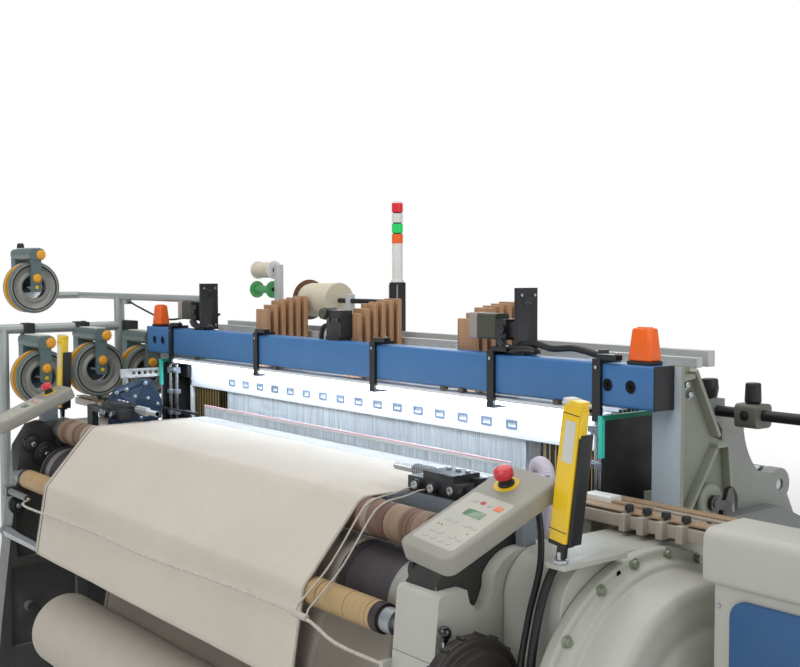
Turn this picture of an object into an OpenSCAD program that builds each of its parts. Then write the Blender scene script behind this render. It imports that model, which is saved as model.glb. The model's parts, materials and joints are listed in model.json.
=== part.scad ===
/* [Main sizes] */
// Width of the woven cloth
cloth_w = 1620; // [1200:20:1800]
// Height of the cloth and warp above the floor
weave_z = 950; // [900:5:1000]
// Thickness of the cloth and of the warp ribbons
cloth_t = 2; // [1:0.5:3]
// Inner face of each side frame from the middle
frame_x = 1150; // [1150:5:1250]
// Thickness of each side frame casting
frame_t = 90; // [60:5:110]
// Depth of the pockets cast into the side frames
pocket_d = 24; // [20:2:60]
// Length of the blue top beam
beam_l = 2620; // [2620:10:2900]
// Depth of the top beam, front to back
beam_d = 70; // [50:2:90]
// Height of the top beam
beam_h = 104; // [70:2:120]
// Underside of the top beam above the floor
beam_z = 1169; // [1169:2:1240]

/* [Rollers] */
// Radius of the breast roller
breast_r = 45; // [30:1:50]
// Radius of the guide roller in front
guide_r = 34; // [20:1:36]
// Radius of the lower turning roller
turn_r = 20; // [12:1:26]
// Radius of the take-up roller
takeup_r = 100; // [70:2:104]
// Radius of the wound cloth
cloth_roll_r = 124; // [90:2:150]
// Radius of the tube that the cloth winds on
core_r = 65; // [40:1:80]
// Radius of the rear whip roller
whip_r = 45; // [30:1:55]
// Radius of the wound warp
warp_roll_r = 240; // [150:5:260]
// Radius of the warp beam's flanges
flange_r = 330; // [280:5:340]
// Radius of the roller journals
journal_r = 16; // [10:1:19]
// Running clearance of a journal in its bearing
run_gap = 0.05; // [0.02:0.01:0.1]
// Clearance between soft parts and rollers
soft_gap = 0.3; // [0.2:0.1:0.6]

/* [Healds and reed] */
// Number of warp ribbons across the cloth
ribbons = 60; // [20:2:80]
// Width of one warp ribbon
ribbon_w = 6; // [2:1:8]
// Width of one reed dent
dent_w = 10; // [4:1:12]
// Distance from one heald frame to the next
heald_pitch = 32; // [28:1:33]
// Thickness of a heald frame
heald_t = 14; // [8:1:18]
// Height of a heald frame's rails
rail_h = 92; // [60:2:94]
// Outer half width of the heald frames
heald_x = 1096; // [1040:2:1100]
// Height of the reed above the weaving plane
reed_rise = 42; // [38:1:60]
// Height of the sley pivot
sley_z = 600; // [560:5:640]

/* [Wooden plates] */
// Width of one wooden plate
plate_w = 76; // [50:2:90]
// Thickness of one wooden plate
plate_t = 18; // [10:1:20]
// Distance from one group of plates to the next
plate_gap = 557; // [480:1:600]
// Top of the first plate above the floor
plate_z = 1359; // [1330:1:1380]

/* [Weft feeders] */
// Radius of a feeder's guide ring
feeder_r = 112; // [90:1:114]
// Radius of a feeder's storage drum
drum_r = 62; // [40:1:66]

/* [Covers and controls] */
// Radius of the round gear cover
round_r = 352; // [300:2:356]
// Wall of the moulded covers
wall = 5; // [3:0.5:8]
// Width of a control console
console_w = 146; // [110:2:150]
// Length of a control console
console_l = 310; // [240:5:320]
// Thickness of a control console
console_t = 40; // [25:1:50]
// Radius of a stop button's mushroom head
stop_r = 20; // [12:1:24]
// Travel of a stop button
stop_travel = 6; // [3:1:8]
// Radius of the handwheel
wheel_r = 130; // [90:2:140]

/* [Hidden] */
$fn = 48;

// Places of the rollers as [y, z], all below and around the weaving plane
breast_c = [-500, weave_z - breast_r];
guide_c = [-655, weave_z - 205];
turn_c = [-703, weave_z - 405];
takeup_c = [-500, weave_z - 205];
roll_c = [-620, 250];
whip_c = [620, weave_z - whip_r];
beam_c = [650, 430];
sley_c = [-90, sley_z];
// The edge where warp becomes cloth, and the reed at the back of its swing
fell_y = -152;
reed_y = -57;
reed_t = 6;
// The first and last heald frames
heald_y = 26;
heald_n = 6;
function heald_at(k) = heald_y + k * heald_pitch;
// Rails sit further from the warp on the rear frames, which lift further
rail_clear = 90;
rail_step = 6;
strut_w = 16;
heddle_w = 3;
heddle_t = 2;
pitch = cloth_w / ribbons;
// Faces that several pieces share
outer_x = frame_x + frame_t;
cover_x0 = frame_x - 8;
cover_x1 = outer_x + 38;
frame_top = weave_z - 90;
beam_y0 = -60;
beam_y1 = beam_y0 + beam_d;
beam_top = beam_z + beam_h;
beam_x = beam_l / 2;
beam_wall = 6;
upright_t = 60;
upright_x0 = outer_x + 10;
upright_x1 = upright_x0 + upright_t;
// What stands beside the machine keeps clear of whichever reaches further out
reach_x = max(beam_x, upright_x1);
rib_t = 10;
rib_rise = 24;
warp_top = weave_z + soft_gap + cloth_t;
journal_in = 40;
boss_out = 10;
touch = 0.02;

// Common helpers: a box from its corners, a rod along one axis, and a side profile drawn in y and z
module box(a, b) translate(a) cube(b - a);
module rod_x(x0, x1, c, r) translate([x0, c[0], c[1]]) rotate([0, 90, 0]) cylinder(h = x1 - x0, r = r);
module rod_y(y0, y1, x, z, r) translate([x, y0, z]) rotate([-90, 0, 0]) cylinder(h = y1 - y0, r = r);
module rod_z(z0, z1, x, y, r) translate([x, y, z0]) cylinder(h = z1 - z0, r = r);
module profile_x(x0, x1) translate([x0, 0, 0]) rotate([90, 0, 90]) linear_extrude(x1 - x0) children();
module both_sides() {
    children();
    mirror([1, 0, 0]) children();
}
// A circle's segment points from angle a0 to a1
function arc(c, r, a0, a1, n) = [for (i = [0:n]) c + r * [cos(a0 + (a1 - a0) * i / n),
    sin(a0 + (a1 - a0) * i / n)]];

// Points of one side of a sheet that runs over rollers. A roller on the sheet's left has a
// positive radius s, one on its right a negative one, and e shifts the side from the middle.
function heading(c1, s1, c2, s2) = atan2(c2[1] - c1[1], c2[0] - c1[0]) + asin((s1 - s2) / norm(c2 - c1));
function bend(c, s, e, h0, h1, n) = [for (i = [0:n]) c + (s + e) *
    [sin(h0 + (h1 - h0) * i / n), -cos(h0 + (h1 - h0) * i / n)]];
function reversed(a) = [for (i = [len(a) - 1:-1:0]) a[i]];
sheet_mid = soft_gap + cloth_t / 2;

// A tube swept along points, as rings of corners with a cap at each end
function unit(v) = v / norm(v);
function tangent(p, i) = unit(p[min(i + 1, len(p) - 1)] - p[max(i - 1, 0)]);
function side(t) = unit(cross(t, abs(t[2]) > 0.9 ? [1, 0, 0] : [0, 0, 1]));
function catmull(a, b, c, d, t) = 0.5 * (2 * b + (c - a) * t + (2 * a - 5 * b + 4 * c - d) * t * t
    + (3 * b - a - 3 * c + d) * t * t * t);
function spline(p, n) = concat([for (i = [0:len(p) - 2]) for (j = [0:n - 1])
    catmull(p[max(i - 1, 0)], p[i], p[i + 1], p[min(i + 2, len(p) - 1)], j / n)], [p[len(p) - 1]]);
// A smooth route with a straight first and last piece, so that its ends sit flat
function smooth(p, n) = concat([p[0]], spline([for (i = [1:len(p) - 2]) p[i]], n), [p[len(p) - 1]]);
module tube(p, r, sides) {
    rings = [for (i = [0:len(p) - 1]) let (t = tangent(p, i), u = side(t), v = cross(t, u))
        for (k = [0:sides - 1]) p[i] + r * (u * cos(360 * k / sides) + v * sin(360 * k / sides))];
    last = (len(p) - 1) * sides;
    faces = concat(
        [[for (k = [0:sides - 1]) k]],
        [for (i = [0:len(p) - 2]) for (k = [0:sides - 1]) let (n = (k + 1) % sides)
            [i * sides + k, (i + 1) * sides + k, (i + 1) * sides + n, i * sides + n]],
        [[for (k = [sides - 1:-1:0]) last + k]]);
    polyhedron(rings, faces, convexity = 6);
}

// Side frames
frame_front = -750;
frame_back = 800;
foot_t = 20;
foot_l = 120;
bolt_x = outer_x + 50;
bolt_y = 600;
bolt_r = 9;
frame_outline = [[frame_front, foot_t], [-730, 219], [-650, 850], [-600, weave_z - 25],
    [-560, weave_z - 15], [-440, weave_z - 15], [-370, frame_top], [560, frame_top],
    [700, frame_top - 60], [frame_back, 600], [frame_back, foot_t]];
// Pockets in the casting's inner face, as [y0, y1, z0, z1]
pockets = [[-668, -440, 440, 700], [-694, -440, 110, 405], [-400, -150, 110, 500], [-400, -150, 540, 820],
    [-110, 280, 110, 200], [-30, 280, 530, 820], [320, 470, 110, 820], [510, 740, 560, 800],
    [510, 740, 60, 300]];
// A window right through the casting, as [y0, y1, z0, z1]
window = [-110, 280, 240, 480];
frame_boss_r = 20;
bearing_cs = [breast_c, guide_c, turn_c, takeup_c, roll_c, sley_c, beam_c];
module side_frame() {
    difference() {
        union() {
            difference() {
                profile_x(frame_x, outer_x) polygon(frame_outline);
                for (p = pockets) box([frame_x - 1, p[0], p[2]], [frame_x + pocket_d, p[1], p[3]]);
                box([frame_x - 1, window[0], window[2]], [outer_x + 1, window[1], window[3]]);
            }
            for (s = [-1, 1]) box([frame_x, s * bolt_y - foot_l / 2, 0],
                [bolt_x + 40, s * bolt_y + foot_l / 2, foot_t]);
            // Bosses for the roller journals
            for (c = bearing_cs) rod_x(frame_x - boss_out, frame_x + pocket_d + 2, c, frame_boss_r);
        }
        for (s = [-1, 1]) rod_z(-1, foot_t + 1, bolt_x, s * bolt_y, bolt_r);
        for (c = bearing_cs)
            rod_x(frame_x - boss_out - 1, frame_x + journal_in, c, journal_r + run_gap);
    }
}
peg_x = -980;
peg_c = [-688, 690];
module side_frames() color("#9b9d9b") {
    both_sides() side_frame();
    // Wheel shaft on the right, and on the left the lug and peg that hold the waste cord
    rod_x(outer_x - 1, wheel_x + 19, wheel_c, wheel_shaft_r);
    box([-frame_x - 40, -704, 672], [-frame_x, -640, 708]);
    rod_x(-frame_x - 1, peg_x, peg_c, 12);
}

// Uprights that carry the top beam, with a triangle of ribs on the outer face
boss_c = [127, weave_z - 11];
boss_r = 30;
upright_back = 225;
upright_outline = [[beam_y1, frame_top], [beam_y1, beam_top], [72, beam_top - 8], [165, 1090],
    [200, 1078], [upright_back, 900], [upright_back, frame_top]];
module upright_rib(a, b) {
    d = b - a;
    translate([upright_x1, a[0], a[1]]) rotate([atan2(d[1], d[0]), 0, 0])
        translate([0, 0, -rib_t / 2]) cube([rib_rise, norm(d), rib_t]);
}
module upright() {
    difference() {
        union() {
            profile_x(upright_x0, upright_x1) polygon(upright_outline);
            // Front flange and ribs
            box([upright_x1, beam_y1, frame_top], [upright_x1 + rib_rise, beam_y1 + 12, beam_top - 4]);
            upright_rib([beam_y1 + 22, 905], [150, 1065]);
            upright_rib([68, beam_top - 14], [160, 1096]);
            upright_rib([150, 1072], [196, 1072]);
            upright_rib([196, 1070], [216, 905]);
            upright_rib([beam_y1 + 12, 1240], [62, 1246]);
            rod_x(upright_x1, upright_x1 + rib_rise + 4, boss_c, boss_r);
            // Foot on the side frame
            box([outer_x - 30, beam_y1, frame_top], [upright_x0, upright_back, frame_top + 40]);
            box([outer_x - 30, beam_y1 + 20, frame_top + 40], [upright_x0 + 1, upright_back - 30, 960]);
            // Seat that the beam's end is bolted to
            box([min(beam_x, upright_x1) - upright_t, beam_y1, beam_z], [upright_x1, beam_y1 + 12, beam_top - 4]);
        }
        rod_x(upright_x1 + rib_rise - 20, upright_x1 + rib_rise + 5, boss_c, lever_pin_r + run_gap);
    }
}
module uprights() color("#b9bfb7") both_sides() upright();

// Tubes and a box rail that hold the two side frames apart
tube_r = 40;
module cross_members() color("#7d8385") {
    for (c = [[-270, 360], [120, 155]]) rod_x(-frame_x - pocket_d, frame_x + pocket_d, c, tube_r);
    box([-frame_x, 340, frame_top - 90], [frame_x, 430, frame_top - 10]);
    for (s = [-1, 1]) for (y = [350, 408])
        box([s * 700 - 30, y, frame_top - 10], [s * 700 + 30, y + 14, drop_z0]);
}

// Top beam: a hollow box with round vents near its ends
vent_r = 11;
vent_xs = [beam_x - 90, beam_x - 150];
module top_beam() color("#4a7fbf") difference() {
    box([-beam_x, beam_y0, beam_z], [beam_x, beam_y1, beam_top]);
    box([-beam_x - 1, beam_y0 + beam_wall, beam_z + beam_wall],
        [beam_x + 1, beam_y1 - beam_wall, beam_top - beam_wall]);
    for (s = [-1, 1]) for (x = vent_xs)
        rod_y(beam_y0 - 1, beam_y0 + beam_wall + 1, s * x, beam_z + beam_h / 2, vent_r);
}
cap_t = 5;
module beam_end_caps() color("#1d1f21") both_sides() {
    box([beam_x, beam_y0, beam_z], [beam_x + cap_t, beam_y1, beam_top]);
}
lamp_l = 70;
lamp_h = 86;
lamp_c = [beam_x - 55, beam_y0 + 35];
module beam_lamps() color("#f1561c") both_sides() translate([lamp_c[0], lamp_c[1], beam_top])
    hull() {
        translate([-lamp_l / 2, -24, 0]) cube([lamp_l, 48, 8]);
        translate([-lamp_l / 2 + 8, -18, lamp_h - 6]) cube([lamp_l - 16, 36, 6]);
    }

// Black hooks over the beam, and the lamp housing that they carry under it
hook_xs = [219 - beam_x, -443, 241, 767, beam_x - 167];
hook_t = 9;
hook_w = 26;
bar_y0 = beam_y0 - 4;
bar_y1 = beam_y1 - 16;
bar_z0 = beam_z - 30;
bar_z1 = beam_z - 12;
module lamp_hooks() color("#1b1c1e") for (x = hook_xs) {
    front = beam_y0 - touch;
    box([x - hook_w / 2, front - hook_t, bar_z0 - hook_t], [x + hook_w / 2, front, beam_top + hook_t]);
    box([x - hook_w / 2, front, beam_top + touch], [x + hook_w / 2, beam_y1 - 4, beam_top + hook_t]);
    box([x - hook_w / 2, front, bar_z0 - hook_t], [x + hook_w / 2, bar_y1, bar_z0 - touch]);
    box([x, beam_y0 - hook_t, beam_top + hook_t], [x + 62, beam_y0 + 14, beam_top + hook_t + 12]);
}
module light_bar() color("#f4f8ff")
    box([-beam_x + 200, beam_y0, bar_z0], [beam_x - 200, bar_y1, bar_z1]);

// Rails behind the heald frames that carry the signal post and the bobbins
rails_x = beam_x - 90;
rails_z = beam_top - 23;
rail_tops = [rails_z + 25, rails_z + 41];
rear_rail_y = 262;
rear_rail_t = 28;
bracket_xs = [70 - rails_x, -300, 320, rails_x - 70];
module top_rails() color("#c4c6c4") {
    box([-rails_x, 216, rails_z], [rails_x, 240, rail_tops[0]]);
    box([-rails_x, rear_rail_y, rails_z], [rails_x, rear_rail_y + rear_rail_t, rail_tops[1]]);
    // Brackets from the back of the top beam, over the heald frames
    for (x = bracket_xs) box([x - 15, beam_y1, rails_z - 14], [x + 15, rear_rail_y + rear_rail_t, rails_z]);
}
// Signal post with four lamp rings
post_w = 50;
post_d = 36;
post_x = -95;
post_top = 1456;
pole_r = 18;
ring_h = 35;
ring_n = 4;
pole_top = 1589;
module signal_tower() color("#e9e9e4") {
    y = rear_rail_y - 8;
    pole_x = post_x + post_w / 2;
    pole_y = y + post_d / 2;
    box([post_x, y, rail_tops[1]], [post_x + post_w, y + post_d, post_top]);
    rod_z(post_top, pole_top, pole_x, pole_y, pole_r);
    for (i = [0:ring_n - 1]) {
        z = pole_top + i * ring_h;
        rod_z(z, z + ring_h - 3, pole_x, pole_y, pole_r + 1);
        rod_z(z + ring_h - 3, z + ring_h, pole_x, pole_y, pole_r - 3);
    }
}

// Guards beside the healds, each with a comb whose slots guide the heald frames
guard_x = frame_x + 10;
guard_t = 8;
guard_y0 = -66;
guard_y1 = 230;
guard_top = beam_z - 34;
edge_t = 12;
comb_h = 60;
slot_gap = 0.3;
module heald_guard() {
    difference() {
        union() {
            box([guard_x, guard_y0, frame_top], [guard_x + guard_t, guard_y1, guard_top]);
            for (z = [frame_top + 2, guard_top - comb_h])
                box([heald_x - strut_w + 4, heald_y - 24, z], [guard_x, heald_at(heald_n - 1) + 24, z + comb_h]);
            // Edge strip along the top and the front
            box([guard_x - 2, guard_y0, guard_top], [guard_x + guard_t + 2, guard_y1, guard_top + edge_t]);
            box([guard_x - 2, guard_y0 - edge_t, guard_top - 90],
                [guard_x + guard_t + 2, guard_y0, guard_top + edge_t]);
        }
        for (k = [0:heald_n - 1]) box([heald_x - 60, heald_at(k) - heald_t / 2 - slot_gap, frame_top - 1],
            [heald_x + slot_gap, heald_at(k) + heald_t / 2 + slot_gap, guard_top + 1]);
    }
}
module heald_guards() color("#17191b") both_sides() heald_guard();

// Cloth: from the fell over the breast roller, round the guide and turning rollers, up to the
// take-up roller, over its top and down to the wound roll
s_breast = breast_r + sheet_mid;
s_guide = guide_r + sheet_mid;
s_turn = turn_r + sheet_mid;
s_takeup = -(takeup_r + sheet_mid);
s_roll = -(cloth_roll_r + sheet_mid);
h1 = heading(breast_c, s_breast, guide_c, s_guide) + 360;
h2 = heading(guide_c, s_guide, turn_c, s_turn) + 360;
h3 = heading(turn_c, s_turn, takeup_c, s_takeup) + 360;
h4 = heading(takeup_c, s_takeup, roll_c, s_roll) + 360;
function cloth_side(e) = concat(
    [[fell_y, breast_c[1] + s_breast + e]],
    bend(breast_c, s_breast, e, 180, h1, 10),
    bend(guide_c, s_guide, e, h1, h2, 6),
    bend(turn_c, s_turn, e, h2, h3, 16),
    bend(takeup_c, s_takeup, e, h3, h4, 24),
    [roll_c + (s_roll + e) * [sin(h4), -cos(h4)]]);
module cloth() color("#c8beb2") profile_x(-cloth_w / 2, cloth_w / 2)
    polygon(concat(cloth_side(-cloth_t / 2), reversed(cloth_side(cloth_t / 2))));

// Warp: ribbons that pass between the dents and heddles, joined to one sheet that runs over
// the whip roller and down to the warp beam
sheet_y = 470;
s_whip = -(whip_r + sheet_mid);
s_warp = -(warp_roll_r + sheet_mid);
w1 = heading(whip_c, s_whip, beam_c, s_warp);
function warp_side(e) = concat(
    [[sheet_y, whip_c[1] + whip_r + sheet_mid - e]],
    bend(whip_c, s_whip, e, 0, w1, 10),
    [beam_c + (s_warp + e) * [sin(w1), -cos(w1)]]);
module warp_sheet() color("#e6e4df") {
    profile_x(-cloth_w / 2, cloth_w / 2)
        polygon(concat(warp_side(-cloth_t / 2), reversed(warp_side(cloth_t / 2))));
    for (i = [0:ribbons - 1]) {
        x = -cloth_w / 2 + (i + 0.5) * pitch;
        box([x - ribbon_w / 2, fell_y, weave_z + soft_gap], [x + ribbon_w / 2, sheet_y, warp_top]);
    }
}

// Cords: the twisted waste cord in front of the cloth and the two loops by the cloth's edge
waste_points = [[peg_x, peg_c[0], peg_c[1]], [-960, -688, 690], [-910, -730, 684], [-700, -740, 690], [-300, -745, 704],
    [100, -742, 700], [500, -742, 716], [858, -738, 718], [1000, -738, 690],
    [1104, -702, 668], [cover_x0 - 12, -702, 668]];
loop_points = [[846, -395, 966], [846, -412, 966], [847, -455, 958], [848, -500, 954], [848, -533, 943],
    [849, -562, 918], [850, -640, 820], [850, -706, 760], [846, -730, 738], [846, -738, 722]];
loop_gap = 44;
module loose_cords() color("#bdb6ab") {
    tube(smooth(waste_points, 4), 4, 8);
    tube(smooth(loop_points, 3), 2.5, 8);
    translate([loop_gap, 0, 0]) tube(smooth(loop_points, 3), 2.5, 8);
    // The loops are tied round the waste cord
    rod_x(838, 850 + loop_gap, [-738, 717.5], 8, $fn = 16);
}

// Rollers
module journals(c) rod_x(-(frame_x + journal_in - 2), frame_x + journal_in - 2, c, journal_r);
roller_x = frame_x - boss_out - 1;
module breast_roller() color("#8a7463") {
    rod_x(-roller_x + 80, roller_x - 80, breast_c, breast_r);
    rod_x(-roller_x, roller_x, breast_c, breast_r - 14);
    journals(breast_c);
}
module guide_roller() color("#b39a6e") {
    rod_x(-roller_x + 60, roller_x - 60, guide_c, guide_r);
    rod_x(-roller_x + 20, roller_x - 20, guide_c, guide_r - 6);
    journals(guide_c);
}
module turning_roller() color("#a9acae") {
    rod_x(-roller_x, roller_x, turn_c, turn_r);
    journals(turn_c);
}
module takeup_roller() color("#4b494d") {
    rod_x(-roller_x + 50, roller_x - 50, takeup_c, takeup_r);
    both_sides() {
        rod_x(roller_x - 50, roller_x - 42, takeup_c, takeup_r - 2);
        rod_x(roller_x - 42, roller_x - 6, takeup_c, 42);
    }
    journals(takeup_c);
}
core_x = 925;
module cloth_roll() color("#c2b8ad") {
    rod_x(-cloth_w / 2, cloth_w / 2, roll_c, cloth_roll_r);
    difference() {
        rod_x(-core_x, core_x, roll_c, core_r);
        both_sides() rod_x(core_x - 20, core_x + 1, roll_c, core_r - 8);
    }
    journals(roll_c);
}
module whip_roller() color("#9aa0a2") {
    rod_x(-roller_x, roller_x, whip_c, whip_r);
    rod_x(-arm_x0 - arm_t + 4, arm_x0 + arm_t - 4, whip_c, journal_r);
}
flange_x = cloth_w / 2 + 60;
flange_t = 20;
module warp_beam() color("#8f9496") {
    rod_x(-cloth_w / 2, cloth_w / 2, beam_c, warp_roll_r);
    rod_x(-flange_x, flange_x, beam_c, 110);
    both_sides() difference() {
        rod_x(flange_x, flange_x + flange_t, beam_c, flange_r);
        for (a = [30:60:330])
            rod_x(flange_x - 1, flange_x + flange_t + 1,
                beam_c + flange_r * 0.66 * [cos(a), sin(a)], flange_r * 0.14);
    }
    rod_x(-flange_x - 80, flange_x + 80, beam_c, 60);
    journals(beam_c);
}

// Arms behind the uprights that carry the whip roller and a round bar with clamp blocks
arm_x0 = frame_x + 4;
arm_t = 40;
bar_c = [330, 1132];
bar_r = 14;
module whip_arm() difference() {
    union() {
        profile_x(arm_x0, arm_x0 + arm_t) polygon(concat(
            [[430, frame_top], [430, frame_top + 30]],
            arc([620, 1080], 262, 222, 180, 8),
            arc(bar_c, 34, 150, 20, 6),
            arc([640, 1100], 190, 175, 232, 8),
            arc(whip_c, 46, 130, -40, 10),
            [[690, frame_top - 45], [640, frame_top - 34], [560, frame_top]]));
        // Clamp block round the bar
        box([arm_x0 - 6, bar_c[0] - 30, bar_c[1] - 30], [arm_x0 + arm_t + 6, bar_c[0] + 30, bar_c[1] + 30]);
        rod_z(bar_c[1] + 30, bar_c[1] + 78, arm_x0 + arm_t / 2, bar_c[0], 16);
    }
    rod_x(arm_x0 - 1, arm_x0 + arm_t + 1, whip_c, journal_r + run_gap);
}
module whip_arms() color("#858b8a") {
    both_sides() whip_arm();
    both_sides() rod_x(arm_x0 + arm_t + 6, 1600, bar_c, bar_r);
    rod_x(-arm_x0 + 6, arm_x0 - 6, bar_c, bar_r);
}

// Drop wires of the warp stop motion, on two bars under the warp
drop_z0 = weave_z - 70;
drop_n = 60;
module drop_wires() color("#b8bcc0") {
    for (y = [350, 408]) box([-cloth_w / 2 - 40, y, drop_z0], [cloth_w / 2 + 40, y + 14, drop_z0 + 24]);
    for (y = [350, 408]) for (i = [0:ribbons]) {
        x = -cloth_w / 2 + i * pitch;
        box([x - 3, y + 5, drop_z0 + 24], [x + 3, y + 9, weave_z + 60]);
    }
    both_sides() box([cloth_w / 2 + 10, 350, drop_z0 + 24], [cloth_w / 2 + 40, 422, weave_z - 20]);
}

// Sley: a shaft between the frames, four arms and the beam that holds the reed
sley_shaft_r = 34;
sley_x = cloth_w / 2 + 90;
sley_y0 = reed_y - 36;
sley_y1 = reed_y + 20;
sley_top = weave_z - 34;
sley_depth = 54;
module sley() color("#8b9299") {
    rod_x(-roller_x, roller_x, sley_c, sley_shaft_r);
    journals(sley_c);
    difference() {
        box([-sley_x, sley_y0, sley_top - sley_depth], [sley_x, sley_y1, sley_top]);
        box([-sley_x - 1, reed_y - reed_t / 2, sley_top - 14], [sley_x + 1, reed_y + reed_t / 2, sley_top + 1]);
    }
    for (x = [-780, -260, 260, 780]) {
        profile_x(x - 20, x + 20) polygon([[sley_c[0] - 46, sley_c[1]], [sley_y0 + 4, sley_top - sley_depth + 1],
            [sley_y1 - 4, sley_top - sley_depth + 1], [sley_c[0] + 46, sley_c[1]]]);
        rod_x(x - 30, x + 30, sley_c, sley_shaft_r + 14);
    }
}
reed_x = cloth_w / 2 + 24;
baulk_h = 14;
cap_h = 14;
reed_top = weave_z + reed_rise;
module reed() color("#d9a9b0") {
    box([-reed_x, reed_y - reed_t / 2, sley_top - 14], [reed_x, reed_y + reed_t / 2, sley_top + 4]);
    box([-reed_x, reed_y - reed_t / 2, reed_top - cap_h], [reed_x, reed_y + reed_t / 2, reed_top]);
    for (i = [0:ribbons]) {
        x = -cloth_w / 2 + i * pitch;
        box([x - dent_w / 2, reed_y - 2, sley_top + 3], [x + dent_w / 2, reed_y + 2, reed_top - cap_h + 1]);
    }
    both_sides() box([reed_x - 16, reed_y - reed_t / 2, sley_top + 3],
        [reed_x, reed_y + reed_t / 2, reed_top - cap_h + 1]);
}

// Heald frames: two rails, two struts, heddles between the ribbons, and wooden plates on top
slot_n = 16;
plate_tops = [0, 15, 30, 35, 40, 45];
module heald_frame(k) {
    y = heald_at(k);
    y0 = y - heald_t / 2;
    y1 = y + heald_t / 2;
    low = weave_z + rail_clear + rail_step * k;
    base = weave_z - rail_clear - rail_step * k;
    difference() {
        union() {
            box([-heald_x, y0, low], [heald_x, y1, low + rail_h]);
            box([-heald_x, y0, base - rail_h], [heald_x, y1, base]);
            both_sides() box([heald_x - strut_w, y0, base - rail_h], [heald_x, y1, low + rail_h]);
        }
        for (i = [0:slot_n - 1]) {
            x = (i - (slot_n - 1) / 2) * cloth_w / slot_n;
            box([x - 17, y0 - 1, low + 30], [x + 17, y1 + 1, low + 44]);
        }
    }
    for (i = [0:ribbons]) {
        x = -cloth_w / 2 + i * pitch;
        box([x - heddle_w / 2, y - heddle_t / 2, base - 1], [x + heddle_w / 2, y + heddle_t / 2, low + 1]);
    }
    for (i = [-1:1]) {
        x = 15 + i * plate_gap;
        box([x - plate_w / 2, y - heald_t / 2, low + rail_h - 1],
            [x + plate_w / 2, y + heald_t / 2, beam_top - 60]);
        box([x - plate_w / 2, y - plate_t / 2, beam_top - 60],
            [x + plate_w / 2, y + plate_t / 2, plate_z + plate_tops[k]]);
    }
}
module heald_frame_1() color("#eef2f6") heald_frame(0);
module heald_frame_2() color("#e6e2d8") heald_frame(1);
module heald_frame_3() color("#e6e2d8") heald_frame(2);
module heald_frame_4() color("#e6e2d8") heald_frame(3);
module heald_frame_5() color("#e6e2d8") heald_frame(4);
module heald_frame_6() color("#e6e2d8") heald_frame(5);

// Rapiers: a flat tape with a gripper head, seen from the right; the left one is its mirror image
rapier_y = reed_y - 21;
tape_w = 16;
tape_t = 5;
tape_z = warp_top + 1.2;
rapier_x0 = cloth_w / 2 + 40;
rapier_x1 = 1740;
module rapier() {
    box([rapier_x0 + 80, rapier_y - tape_w / 2, tape_z], [rapier_x1, rapier_y + tape_w / 2, tape_z + tape_t]);
    box([rapier_x0 + 14, rapier_y - 9, tape_z], [rapier_x0 + 110, rapier_y + 9, tape_z + 8]);
    box([rapier_x0, rapier_y - 4, tape_z], [rapier_x0 + 15, rapier_y + 6, tape_z + 6]);
}
module right_rapier() color("#3d4145") rapier();
module left_rapier() color("#3d4145") mirror([1, 0, 0]) rapier();

// Guides for the rapier tapes, with knobbed clamps along the front
guide_x0 = 1172;
guide_x1 = 1745;
guide_top = tape_z - 0.4;
guide_h = 28;
module rapier_guide() {
    box([guide_x0, -196, guide_top - guide_h], [guide_x1, reed_y, guide_top]);
    box([guide_x0, rapier_y + tape_w / 2 + 1, guide_top], [guide_x1, reed_y, guide_top + 10]);
    box([guide_x0, rapier_y - tape_w / 2 - 13, guide_top], [guide_x1, rapier_y - tape_w / 2 - 1, guide_top + 10]);
    box([guide_x0, rapier_y - tape_w / 2 - 13, guide_top + 10],
        [guide_x0 + 200, rapier_y - tape_w / 2 + 3, guide_top + 14]);
    for (x = [1350, 1400, 1452, 1505]) {
        box([x - 12, -214, guide_top - guide_h - 6], [x + 12, -150, guide_top + 6]);
        rod_z(guide_top + 6, guide_top + 24, x, -186, 13);
    }
    box([guide_x0 + 10, -150, guide_top], [guide_x0 + 90, -110, guide_top + 22]);
    // Bracket down to the side frame
    box([guide_x0 + 10, -170, frame_top], [guide_x0 + 50, -80, guide_top - guide_h]);
}
module rapier_guides() color("#b9b3aa") {
    both_sides() rapier_guide();
    // Brackets down to the end boxes
    box([box_x0 + 5, -170, hood_z0 - 22], [box_x0 + 45, -80, guide_top - guide_h]);
    box([80 - left_box_x1, -170, left_box_top], [120 - left_box_x1, -80, guide_top - guide_h]);
}

// Temples: a holder beside the cloth's edge and a rod that reaches over it
temple_c = [-365, 975];
module temple() {
    box([846, temple_c[0] - 30, weave_z + 8], [1030, temple_c[0] + 26, weave_z + 44]);
    for (x = [890, 950]) rod_y(temple_c[0] - 44, temple_c[0] - 30, x, weave_z + 26, 15);
    box([900, temple_c[0] - 26, weave_z + 44], [1010, temple_c[0] + 60, weave_z + 62]);
    rod_x(700, 960, [-318, weave_z + 40], 9);
    rod_x(780, 860, [-318, weave_z + 40], 15);
    box([960, -334, weave_z + 30], [1030, -302, weave_z + 52]);
    box([1030, temple_c[0] - 4, weave_z + 12], [frame_x + 50, temple_c[0] + 20, weave_z + 34]);
    box([frame_x, temple_c[0] - 4, frame_top], [frame_x + 50, temple_c[0] + 20, weave_z + 12]);
}
module temples() color("#24272a") {
    translate([-20, 0, 0]) temple();
    mirror([1, 0, 0]) temple();
}

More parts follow.
